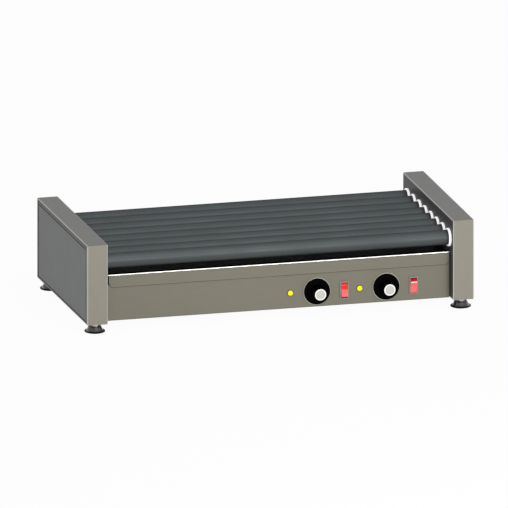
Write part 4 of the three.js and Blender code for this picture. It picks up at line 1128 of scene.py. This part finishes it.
def gear_motor():
    low, high, centre = extent("gear_motor")
    shaft = middle_of("motor_shaft")
    wall = LEFT_WALL + GAP
    radius = half_of("gear_motor").z
    end = high.x - wall
    body = turned("x", (wall, centre.y, centre.z), [
        (MOTOR_PLATE, 0), (MOTOR_PLATE, radius, 1.5 * MM), (24 * MM, radius, 1.5 * MM),
        (24 * MM, radius - 3 * MM), (26 * MM, radius - 3 * MM), (26 * MM, radius - 0.5 * MM, 1 * MM),
        (40 * MM, radius - 0.5 * MM, 1 * MM), (40 * MM, radius - 4 * MM), (end, radius - 6 * MM, 4 * MM),
        (end, 0),
    ])
    outline = oblong(low.y, high.y, centre.z - MOTOR_PLATE_HALF, centre.z + MOTOR_PLATE_HALF, 6 * MM)
    holes = [
        circle(centre.y + s * MOTOR_SCREW_REACH, centre.z, 2.2 * MM, SMALL_ROUND) for s in (-1, 1)
    ]
    plate = cut_plate(outline, holes, on_wall(wall), MOTOR_PLATE)
    boss = turned("x", (0, shaft.y, shaft.z), [
        (low.x, 4.1 * MM, 0.3 * MM), (low.x, MOTOR_BOSS, 0.5 * MM), (wall, MOTOR_BOSS), (wall, 4.1 * MM),
    ], SMALL_ROUND)
    tabs = []
    for side in (-1, 1):
        y = centre.y + side * MOTOR_TAB_REACH
        tabs.append(block((high.x - 9 * MM, high.x - 1 * MM), (y - 3 * MM, y + 3 * MM),
                          (centre.z + 20 * MM, centre.z + 20.8 * MM), 0.3 * MM))
    fitted("geared_motor", [(merged(body, plate, boss), motor_paint), (merged(*tabs), zinc_steel)],
           "chassis", "motor_paint", "gear_motor")


def shaft_and_axle():
    low, high, spot = extent("motor_shaft")
    shaft = rod("x", (0, spot.y, spot.z), half_of("motor_shaft").z, low.x, high.x, 0.5 * MM)
    fitted("drive_shaft", [(shaft, zinc_steel)], "drive", "zinc_steel", "motor_shaft")
    low, high, spot = extent("idler_axle")
    wheel_low, wheel_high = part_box("idler_sprocket")
    start, end = wheel_low.x - GAP, wheel_high.x + GAP
    outer, inner = LEFT_WALL - SHEET - GAP, LEFT_WALL + GAP
    axle = turned("x", (0, spot.y, spot.z), [
        (low.x, 0), (low.x, 7 * MM, 0.6 * MM), (start, 7 * MM, 0.2 * MM), (start, 5 * MM), (end, 5 * MM),
        (end, AXLE_HEAD, 0.3 * MM), (outer, AXLE_HEAD, 0.3 * MM), (outer, AXLE_SCREW), (inner, AXLE_SCREW),
        (inner, AXLE_HEAD, 0.3 * MM), (high.x, AXLE_HEAD, 0.8 * MM), (high.x, 0),
    ], SMALL_ROUND)
    fitted("idler_stud", [(axle, zinc_steel)], "chassis", "zinc_steel", "idler_axle")


def heater_bank(name, numbers):
    low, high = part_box(name)
    spots = [roller_spots[i] for i in numbers]
    bar_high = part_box("right_housing")[1].x - HEATER_BAR_DEPTH
    bar_low = bar_high - HEATER_BAR
    bead_end = high.x - 3 * MM
    rods, beads, pins = [], [], []
    for spot in spots:
        seat = (0, spot.y, spot.z)
        rods.append(turned("x", seat, [
            (low.x, 0), (low.x, HEATER_ROD, 1.2 * MM), (bar_low, HEATER_ROD), (bar_low, 0),
        ], SMALL_ROUND))
        beads.append(turned("x", seat, [
            (bar_high, 0), (bar_high, HEATER_ROD, 0.5 * MM), (bead_end, 3 * MM, 0.5 * MM), (bead_end, 0),
        ], SMALL_ROUND))
        pins.append(rod("x", seat, 1.6 * MM, high.x - 4 * MM, high.x, 0.3 * MM, 16))
    outline = oblong(low.y, high.y, low.z, high.z, PLATE_CORNER)
    bar = cut_plate(outline, [], on_wall(bar_low), HEATER_BAR)
    pitch = spots[1].y - spots[0].y
    half_leg = pitch / 2 - BUSH_BARREL_RADIUS - 0.8 * MM
    legs = [
        block((RIGHT_WALL + SHEET + GAP, bar_low), (y - half_leg, y + half_leg), (low.z, high.z), along="x")
        for y in (spots[0].y + pitch / 2, spots[-1].y - pitch / 2)
    ]
    fitted(f"{name}_rods", [
        (merged(*rods), heater_sheath), (merged(bar, *legs), inner_steel), (merged(*beads), ceramic),
        (merged(*pins), zinc_steel),
    ], "chassis", "heater_sheath", name)


def heater_bar():
    low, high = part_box("heater_end_bar")
    outline = oblong(low.y, high.y, low.z, high.z, PLATE_CORNER)
    holes = [circle(s.y, s.z, HEATER_ROD + 0.4 * MM, SMALL_ROUND) for s in roller_spots]
    bar = cut_plate(outline, holes, on_wall(low.x), high.x - low.x)
    fitted("steady_bar", [(bar, inner_steel)], "chassis", "inner_steel", "heater_end_bar")


gear_motor()
shaft_and_axle()
heater_bank("front_heater_bank", range(0, 4))
heater_bank("rear_heater_bank", range(4, 8))
heater_bar()


# ---- controls
KNOB_SKIRT = 3.6 * MM
KNOB_GRIP_BASE = 12.5 * MM
KNOB_GRIP_TIP = 11 * MM
KNOB_CAP = 9.75 * MM
KNOB_CAP_RIM = 1.9 * MM
KNOB_RING = 1.0 * MM             # the bright ring stands this far outside the skirt
KNOB_FLUTES = 24
KNOB_FLUTE_DEPTH = 0.45 * MM
SPINDLE = 3 * MM


def knob(side):
    low, high, spot = extent(f"{side}_knob")
    radius = half_of(f"{side}_knob").x
    back = PANEL_FACE - 0.4 * MM
    disc = back - KNOB_SKIRT
    tip = low.y
    rim = radius + KNOB_RING
    seat = (spot.x, 0, spot.z)
    skirt = turned("y", seat, [
        (disc - 1 * MM, 0), (disc - 1 * MM, KNOB_GRIP_BASE), (disc, radius - 0.5 * MM, 0.3 * MM),
        (disc + 0.5 * MM, radius, 0.3 * MM), (back - 1.1 * MM, radius), (back - 1.1 * MM, 0),
    ])
    ring = turned("y", seat, [
        (back - 1.2 * MM, 4 * MM), (back - 1.2 * MM, rim, 0.3 * MM), (back, rim, 0.3 * MM), (back, 4 * MM),
    ])
    grip = fluted(AXES["y"](seat), [
        (disc - 0.6 * MM, KNOB_GRIP_BASE, 1), (tip + 3 * MM, KNOB_GRIP_TIP + 0.1 * MM, 1),
        (tip + 1.6 * MM, KNOB_GRIP_TIP - 0.2 * MM, 1), (tip + 0.5 * MM, KNOB_CAP + 0.5 * MM, 0.3),
        (tip + 0.3 * MM, KNOB_CAP, 0.3),
    ], KNOB_FLUTES, KNOB_FLUTE_DEPTH, sharpness=2)
    spindle = rod("y", seat, SPINDLE, back, high.y, 0.5 * MM)
    fitted(f"{side}_knob_body", [
        (merged(skirt, grip), black_plastic), (ring, ring_metal), (spindle, zinc_steel),
    ], f"{side}_knob", "black_plastic", f"{side}_knob")
    inner = KNOB_CAP - KNOB_CAP_RIM
    disc_radius = inner - 0.05 * MM
    cap_rim = turned("y", seat, [
        (tip + 0.35 * MM, inner), (tip, inner, 0.15 * MM), (tip, KNOB_CAP, 0.5 * MM),
        (tip + 0.35 * MM, KNOB_CAP),
    ])
    cap = turned("y", seat, [
        (tip + 0.15 * MM, 0), (tip + 0.15 * MM, disc_radius, 0.1 * MM), (tip + 0.4 * MM, disc_radius),
        (tip + 0.4 * MM, 0),
    ])
    # The cap's rim carries a painted glow.
    fitted(f"{side}_knob_cap", [(cap_rim, rim_plastic), (cap, cap_plastic)], f"{side}_knob", "grey_plastic")


THERMOSTAT_COVER = 6 * MM        # the ceramic part's depth
THERMOSTAT_BORE = 22.4 * MM      # how far in the spindle's bore ends
COVER_STEP = 2 * MM


def thermostat(side):
    low, high, spot = extent(f"{side}_thermostat")
    seat = (spot.x, 0, spot.z)
    face = PANEL_FACE + SHEET + GAP
    split = high.y - THERMOSTAT_COVER
    body = block((low.x, high.x), (face, split), (low.z, high.z), 1.2 * MM)
    cover = block((low.x + COVER_STEP, high.x - COVER_STEP), (split, high.y),
                  (low.z + COVER_STEP, high.z - COVER_STEP), 1 * MM)
    bore = SPINDLE + 0.5 * MM
    neck = turned("y", seat, [
        (low.y, bore, 0.2 * MM), (low.y, NECK_RADIUS, 0.4 * MM), (face, NECK_RADIUS), (face, bore),
    ], SMALL_ROUND)
    drill = rod("y", seat, SPINDLE + 0.4 * MM, face - 1 * MM, low.y + THERMOSTAT_BORE, 0)
    fitted(f"{side}_thermostat_body", [
        (merged(drilled(body, [drill]), neck), inner_steel), (cover, ceramic),
    ], "chassis", "inner_steel", f"{side}_thermostat")


def lamp(side):
    low, high, spot = extent(f"{side}_lamp")
    radius = half_of(f"{side}_lamp").x
    lens_radius = radius - 0.7 * MM
    barrel_radius = radius - 1 * MM
    back = PANEL_FACE - GAP
    seat = (spot.x, 0, spot.z)
    lens = turned("y", seat, [
        (low.y, 0), (low.y, 2 * MM, 1 * MM), (low.y + 0.8 * MM, radius - 0.9 * MM, 0.5 * MM),
        (back - 1 * MM, lens_radius), (back - 1 * MM, 0),
    ], SMALL_ROUND)
    collar = turned("y", seat, [
        (back - 1.2 * MM, lens_radius, 0.1 * MM), (back - 1.2 * MM, radius, 0.4 * MM),
        (back, radius, 0.2 * MM), (back, lens_radius),
    ], SMALL_ROUND)
    barrel = turned("y", seat, [
        (back, 0), (back, barrel_radius), (high.y - 4 * MM, barrel_radius, 0.6 * MM),
        (high.y - 4 * MM, 1 * MM), (high.y, 1 * MM), (high.y, 0),
    ], SMALL_ROUND)
    fitted(f"{side}_pilot_lamp", [
        (lens, yellow_lens), (collar, collar_plastic), (barrel, white_plastic),
    ], "chassis", "yellow_lens", f"{side}_lamp")


SWITCH_POCKET = (5.75 * MM, 13.4 * MM, 10 * MM)   # half width, half height, depth


def switch(side):
    """The bezel and pocket as rings, from the back of the body to the pocket's floor."""
    low, high, spot = extent(f"{side}_switch_housing")
    half = half_of(f"{side}_switch_housing")
    face = PANEL_FACE - GAP
    pocket_x, pocket_z, depth = SWITCH_POCKET
    body = (half.x - SWITCH_LIP, half.z - SWITCH_LIP)
    levels = [
        (high.y, *body, 0.5 * MM), (face, *body, 0.5 * MM), (face, half.x, half.z, 1.4 * MM),
        (low.y + 0.7 * MM, half.x, half.z, 1.4 * MM),
        (low.y + 0.2 * MM, half.x - 0.2 * MM, half.z - 0.2 * MM, 1.3 * MM),
        (low.y, half.x - 0.7 * MM, half.z - 0.7 * MM, 1.0 * MM),
        (low.y, pocket_x + 0.2 * MM, pocket_z + 0.2 * MM, 0.5 * MM),
        (low.y + 0.3 * MM, pocket_x, pocket_z, 0.4 * MM), (low.y + depth, pocket_x, pocket_z, 0.4 * MM),
    ]
    rings = []
    for along, x, z, corner in levels:
        rings.append([(spot.x + a, along, spot.z + b) for a, b in oblong(-x, x, -z, z, corner)])
    fitted(f"{side}_switch_frame", [(lofted(rings), grey_plastic)], "chassis", "grey_plastic",
           f"{side}_switch_housing")


ROCKER_HALF = 12 * MM
ROCKER_HALF_WIDTH = 5.4 * MM
ROCKER_VALLEY = 2.3 * MM         # how far the middle stands out of the panel
ROCKER_RIDGE = 0.85 * MM         # half of the light line on the upper edge
ROCKER_SIDE = ((0, 0.955), (0.5 * MM, 1.0))   # the sides' broken edges: inset and size
ROCKER_TILT = math.radians(10)
ROCKER_PIVOT_DEPTH = 3 * MM
ROCKER_NOSE = (4.2 * MM, 2.4 * MM)   # the upper end's slope, up and back
ROCKER_TOE = (1.2 * MM, 0.8 * MM)    # and the lower end's
ROCKER_CROWN = (-1 * MM, 12.9 * MM)  # the upper end reaches up into its frame


def rocker(side):
    spot = middle_of(f"{side}_switch_housing")
    half_x = ROCKER_HALF_WIDTH
    pivot = (PANEL_FACE + ROCKER_PIVOT_DEPTH, spot.z)
    tilt = -ROCKER_TILT if side == "left" else ROCKER_TILT
    valley = -(ROCKER_VALLEY + ROCKER_PIVOT_DEPTH)
    slope = math.tan(ROCKER_TILT)
    upper = ROCKER_HALF - ROCKER_NOSE[0]
    lower = ROCKER_HALF - ROCKER_TOE[0]
    front = valley - slope * upper
    foot = valley - slope * lower
    back = [
        (2 * MM, 4 * MM - ROCKER_HALF, 0.5 * MM), (3 * MM, 0, 2 * MM),
        (2 * MM, ROCKER_HALF - 4 * MM, 0.5 * MM), (*ROCKER_CROWN, 0.4 * MM),
    ]
    section = rounded([
        (front, upper, 2 * MM), (valley, 0, 6 * MM), (foot, -lower, 0.7 * MM),
        (foot + ROCKER_TOE[1], -ROCKER_HALF, 0.5 * MM), *back,
        (front + ROCKER_NOSE[1], ROCKER_HALF, 0.5 * MM),
    ])
    spin = Matrix.Rotation(tilt, 2)
    turned_section = [tuple(spin @ Vector(p)) for p in section]
    rings = []
    widths = [(inset - half_x, size) for inset, size in ROCKER_SIDE]
    widths += [(half_x - inset, size) for inset, size in reversed(ROCKER_SIDE)]
    for x, size in widths:
        rings.append([(spot.x + x, pivot[0] + a * size, pivot[1] + b * size) for a, b in turned_section])
    points, faces = lofted(rings)
    count = len(section)
    # The right rocker's upper edge takes a painted highlight line.
    zones = {"nose": [], "ridge": [], "face": []}
    for face in faces:
        rise = sum(section[i % count][1] for i in face) / len(face)
        forward = sum(section[i % count][0] for i in face) / len(face) < 0
        ridge = forward and abs(rise - upper) < ROCKER_RIDGE
        zone = "ridge" if ridge else "nose" if forward and rise > upper else "face"
        zones[zone if len(face) == 4 else "face"].append(face)
    light = ridge_pink if side == "right" else rocker_reds_painted_light[side]
    # On the right rocker the upper end takes painted shade.
    fitted(f"{side}_rocker_paddle", [
        ((points, zones["face"]), rocker_reds_painted_light[side]), ((points, zones["ridge"]), light),
        ((points, zones["nose"]), nose_red if side == "right" else rocker_reds_painted_light[side]),
    ], f"{side}_rocker", "red_plastic", f"{side}_rocker")


for side in SIDES:
    knob(side)
    thermostat(side)
    lamp(side)
    switch(side)
    rocker(side)


# ---- feet
FOOT_RIM = 2.5 * MM
HEX_RADIUS = 13 * MM / math.sqrt(3)
HEX_HEIGHT = 5 * MM


FOOT_RIBS = 16
FOOT_RIB_DEPTH = 0.2 * MM
THREAD_TURNS = 11
THREAD_DEPTH = 0.5 * MM


def foot(name):
    low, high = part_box(f"{name}_foot")
    spot = foot_spots[name]
    radius = half_of(f"{name}_foot").x
    hex_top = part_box("left_housing")[0].z - 0.5 * MM
    hex_base = hex_top - HEX_HEIGHT
    seat = (spot.x, spot.y, 0)
    top = low.z + FOOT_RIM
    rim = turned("z", seat, [
        (low.z, 0), (low.z, radius - 1.5 * MM, 0.4 * MM), (low.z + 0.8 * MM, radius, 0.7 * MM),
        (top, radius - 0.2 * MM, 0.8 * MM), (top + 0.3 * MM, radius - 1.7 * MM, 0.5 * MM),
        (top - 0.7 * MM, radius - 2.6 * MM), (top - 0.7 * MM, 0),
    ])
    cone = fluted(AXES["z"](seat), [
        (low.z + 1 * MM, radius - 2.4 * MM, 0), (top, radius - 2.5 * MM, 0),
        (top + 0.6 * MM, radius - 3.4 * MM, 1), ((low.z + hex_base) / 2, 13.2 * MM, 1),
        (hex_base - 1.8 * MM, 11.6 * MM, 1), (hex_base - 0.6 * MM, 10.9 * MM, 0), (hex_base, 10 * MM, 0),
    ], FOOT_RIBS, FOOT_RIB_DEPTH)
    fitted(f"{name}_foot_cone", [(rim, foot_rubber), (cone, cone_rubber)], f"{name}_foot",
           "black_plastic", f"{name}_foot")
    nut = hexagon(AXES["z"](seat), HEX_RADIUS, hex_base, hex_top, 0.9)
    root = FOOT_STUD_RADIUS - THREAD_DEPTH
    thread = [(hex_top, 0), (hex_top, root)]
    pitch = (high.z - hex_top - 1 * MM) / THREAD_TURNS
    for k in range(THREAD_TURNS):
        at = hex_top + 0.4 * MM + k * pitch
        thread += [(at, root), (at + pitch / 2, FOOT_STUD_RADIUS)]
    thread += [(high.z - 0.4 * MM, root), (high.z, root - 0.4 * MM), (high.z, 0)]
    stud = turned("z", seat, thread, 24)
    fitted(f"{name}_foot_stud", [(merged(nut, stud), zinc_steel)], f"{name}_foot", "zinc_steel")


for name in foot_spots:
    foot(name)


# ---- mains inlet
def cable_gland():
    low, high, spot = extent("cable_gland")
    face = REAR_FACE + GAP
    inner_face = REAR_FACE - SHEET - GAP
    seat = (spot.x, 0, spot.z)
    body = turned("y", seat, [
        (low.y, 4 * MM, 0.3 * MM), (low.y, 9 * MM, 0.3 * MM), (face, 9 * MM), (face, 12 * MM, 0.4 * MM),
        (face + 1.2 * MM, 12 * MM, 0.4 * MM), (face + 1.2 * MM, 9.6 * MM),
        (face + 8 * MM, 9.6 * MM, 0.5 * MM),
        (high.y - 3.5 * MM, 9.2 * MM, 2 * MM), (high.y, 6.5 * MM, 1 * MM), (high.y, 5 * MM, 0.3 * MM),
        (high.y - 2 * MM, 4 * MM),
    ])

    def corner_on_x(along, side, up):
        return spot.x + side, along, spot.z + up

    nuts = []
    for start, end, flats in ((face + 1.4 * MM, face + 7 * MM, 19.6 * MM),
                              (inner_face - 5 * MM, inner_face, 20.4 * MM)):
        nut = hexagon(corner_on_x, flats / math.sqrt(3), start, end, 0.93)
        nuts.append(drilled(nut, [rod("y", seat, 8.9 * MM, low.y - 5 * MM, high.y + 5 * MM, 0)]))
    fitted("gland", [(merged(body, *nuts), black_plastic)], "chassis", "black_plastic", "cable_gland")


TERMINAL_WAYS = 5
TERMINAL_INSET = 6.5 * MM        # from the block's long edges to the screws
TERMINAL_WELL = 8 * MM


def terminal_block():
    low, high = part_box("terminal_block")
    body = block((low.x, high.x), (low.y, high.y), (low.z, high.z), 1 * MM, "z")
    pitch = (high.x - low.x) / TERMINAL_WAYS
    floor = high.z - TERMINAL_WELL
    wells = []
    heads = []
    for i in range(TERMINAL_WAYS):
        x = low.x + (i + 0.5) * pitch
        for y in (low.y + TERMINAL_INSET, high.y - TERMINAL_INSET):
            wells.append(rod("z", (x, y, 0), 3.2 * MM, floor, high.z + 1 * MM, 0, 24))
            heads.append(rod("z", (x, y, 0), 2.7 * MM, floor + 0.1 * MM, high.z - 4 * MM, 0.4 * MM, 24))
    fitted("terminals", [(drilled(body, wells), ceramic), (merged(*heads), zinc_steel)], "chassis",
           "ceramic", "terminal_block")


cable_gland()
terminal_block()


# ---- screws
def screw_head():
    """A pan head with a cross recess, standing along Z on its seat at z = 0."""
    head = turned("z", (0, 0, 0), [
        (0, 0), (0, 3.4 * MM), (0.5 * MM, 3.5 * MM, 0.3 * MM), (1.9 * MM, 2.4 * MM, 0.9 * MM), (2.1 * MM, 0),
    ], 24)
    long, short, deep = (-1.7 * MM, 1.7 * MM), (-0.35 * MM, 0.35 * MM), (1.2 * MM, 3 * MM)
    arms = [block(x, y, deep, 0.1 * MM, "z") for x, y in ((long, short), (short, long))]
    return drilled(head, arms)


REAR_SCREW_INSET = (14 * MM, 8 * MM)
BASE_SCREW_INSET = 22 * MM


def screws():
    """Screws on the panel, plate and motor. Each point of a small mesh carries its direction."""
    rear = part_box("rear_panel")
    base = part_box("bottom_plate")
    motor = middle_of("gear_motor")
    motor_face = LEFT_WALL + GAP + MOTOR_PLATE
    seats = []
    inset_x, inset_z = REAR_SCREW_INSET
    for x in (rear[0].x + inset_x, 0.0, rear[1].x - inset_x):
        for z in (rear[0].z + inset_z, rear[1].z - inset_z):
            seats.append(((x, rear[1].y, z), (0, 1, 0)))
    for x in (base[0].x + BASE_SCREW_INSET, 0.0, base[1].x - BASE_SCREW_INSET):
        for y in (base[0].y + BASE_SCREW_INSET, base[1].y - BASE_SCREW_INSET):
            seats.append(((x, y, base[0].z), (0, 0, -1)))
    for side in (-1, 1):
        seats.append(((motor_face, motor.y + side * MOTOR_SCREW_REACH, motor.z), (1, 0, 0)))
    cloud = bpy.data.meshes.new("screws")
    cloud.from_pydata([spot for spot, _ in seats], [], [])
    facing = cloud.attributes.new("facing", "FLOAT_VECTOR", "POINT")
    facing.data.foreach_set("vector", [c for _, way in seats for c in way])
    holder = linked("screws", cloud)
    head = as_object("screw_head", [(screw_head(), zinc_steel)])

    tree = geometry_group("screws_on_points")
    head_id = group_input(tree, "Screw", "NodeSocketObject")
    size_id = group_input(tree, "Size", "NodeSocketFloat", 1.0)
    given = node(tree, "NodeGroupInput")
    way = node(tree, "GeometryNodeInputNamedAttribute", {"Name": "facing"}, data_type="FLOAT_VECTOR")
    turn = node(tree, "FunctionNodeAlignRotationToVector", {"Vector": way.outputs[0]}, axis="Z")
    shape = node(tree, "GeometryNodeObjectInfo", {"Object": given.outputs["Screw"]})
    placed = node(tree, "GeometryNodeInstanceOnPoints", {
        "Points": given.outputs["Geometry"], "Instance": shape.outputs["Geometry"],
        "Rotation": turn.outputs[0], "Scale": given.outputs["Size"],
    })
    closing_nodes(tree, placed.outputs[0], "zinc_steel")
    made = run_nodes(holder, tree, {head_id: head, size_id: 1.0})
    bpy.data.objects.remove(head)
    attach(made, "chassis")


screws()


# ---- stage
VIEW_TARGET = Vector((0.0018, 0.0192, 0.0708))
VIEW_ANGLES = (-15, 15)          # azimuth and elevation, in degrees
VIEW_DISTANCE = 2.5
VIEW_WIDTH = 0.8502
FLOOR_HALF = 6.0
FLOOR_GREY = (0.95, 0.95, 0.95, 1.0)
FLOOR_SHOWN = 0.955              # the share of plain white that the floor shows
WORLD_FILL = 0.45
LAMP_DISTANCE = 2.4
LAMP_WIDTH = 1.6
LAMP_COLOUR = (1.0, 0.975, 0.93)
LAMPS = {                        # azimuth, elevation, height and watts
    "high": (12, 48, 1.6, 11),
    "front": (10, 8, 0.4, 13.5),
}


def seen_directly(tree):
    """One for rays from the camera, from gloss and through glass."""
    path = node(tree, "ShaderNodeLightPath")
    seen = path.outputs["Is Camera Ray"]
    for kind in ("Is Glossy Ray", "Is Transmission Ray"):
        either = node(tree, "ShaderNodeMath", {0: seen, 1: path.outputs[kind]}, operation="MAXIMUM")
        seen = either.outputs[0]
    return seen


def plain_surface(name, colour, shown):
    """Matt, and mostly its own white where it is seen directly."""
    material = bpy.data.materials.new(name)
    material.use_nodes = True
    tree = material.node_tree
    tree.nodes.clear()
    share = node(tree, "ShaderNodeMath", {0: seen_directly(tree), 1: shown}, operation="MULTIPLY")
    matt = node(tree, "ShaderNodeBsdfDiffuse", {"Color": colour})
    glow = node(tree, "ShaderNodeEmission", {"Color": WHITE, "Strength": 1.0})
    both = node(tree, "ShaderNodeMixShader", {0: share.outputs[0], 1: matt.outputs[0], 2: glow.outputs[0]})
    node(tree, "ShaderNodeOutputMaterial", {"Surface": both.outputs[0]})
    return material


def stage():
    half = FLOOR_HALF
    corners = [(-half, -half, 0), (half, -half, 0), (half, half, 0), (-half, half, 0)]
    mesh = bpy.data.meshes.new("floor")
    mesh.from_pydata(corners, [], [(0, 1, 2, 3)])
    mesh.materials.append(plain_surface("floor_white", FLOOR_GREY, FLOOR_SHOWN))
    floor = linked("floor", mesh)

    world = bpy.data.worlds.new("studio")
    bpy.context.scene.world = world
    world.use_nodes = True
    tree = world.node_tree
    tree.nodes.clear()
    strength = spread(tree, seen_directly(tree), WORLD_FILL, 1.0, 0.0, 1.0)
    glow = node(tree, "ShaderNodeBackground", {"Color": WHITE, "Strength": strength})
    node(tree, "ShaderNodeOutputWorld", {"Surface": glow.outputs[0]})


def aimed(obj, azimuth, elevation, distance):
    """Stands an object away from the grill's middle and turns it to look there."""
    a, e = math.radians(azimuth), math.radians(elevation)
    way = Vector((math.sin(a) * math.cos(e), -math.cos(a) * math.cos(e), math.sin(e)))
    obj.location = VIEW_TARGET + way * distance
    obj.rotation_euler = way.to_track_quat("Z", "Y").to_euler()


def soft_lamp(name, azimuth, elevation, height, watts):
    light = bpy.data.lights.new(name, "AREA")
    light.shape = "RECTANGLE"
    light.size = LAMP_WIDTH
    light.size_y = height
    light.energy = watts
    light.color = LAMP_COLOUR
    aimed(linked(name, light), azimuth, elevation, LAMP_DISTANCE)


def camera():
    lens = bpy.data.cameras.new("camera")
    lens.type = "ORTHO"
    lens.ortho_scale = VIEW_WIDTH
    obj = linked("camera", lens)
    aimed(obj, *VIEW_ANGLES, VIEW_DISTANCE)
    bpy.context.scene.camera = obj


stage()
camera()
for name, settings in LAMPS.items():
    soft_lamp(name, *settings)
bpy.context.scene.view_settings.view_transform = "Standard"
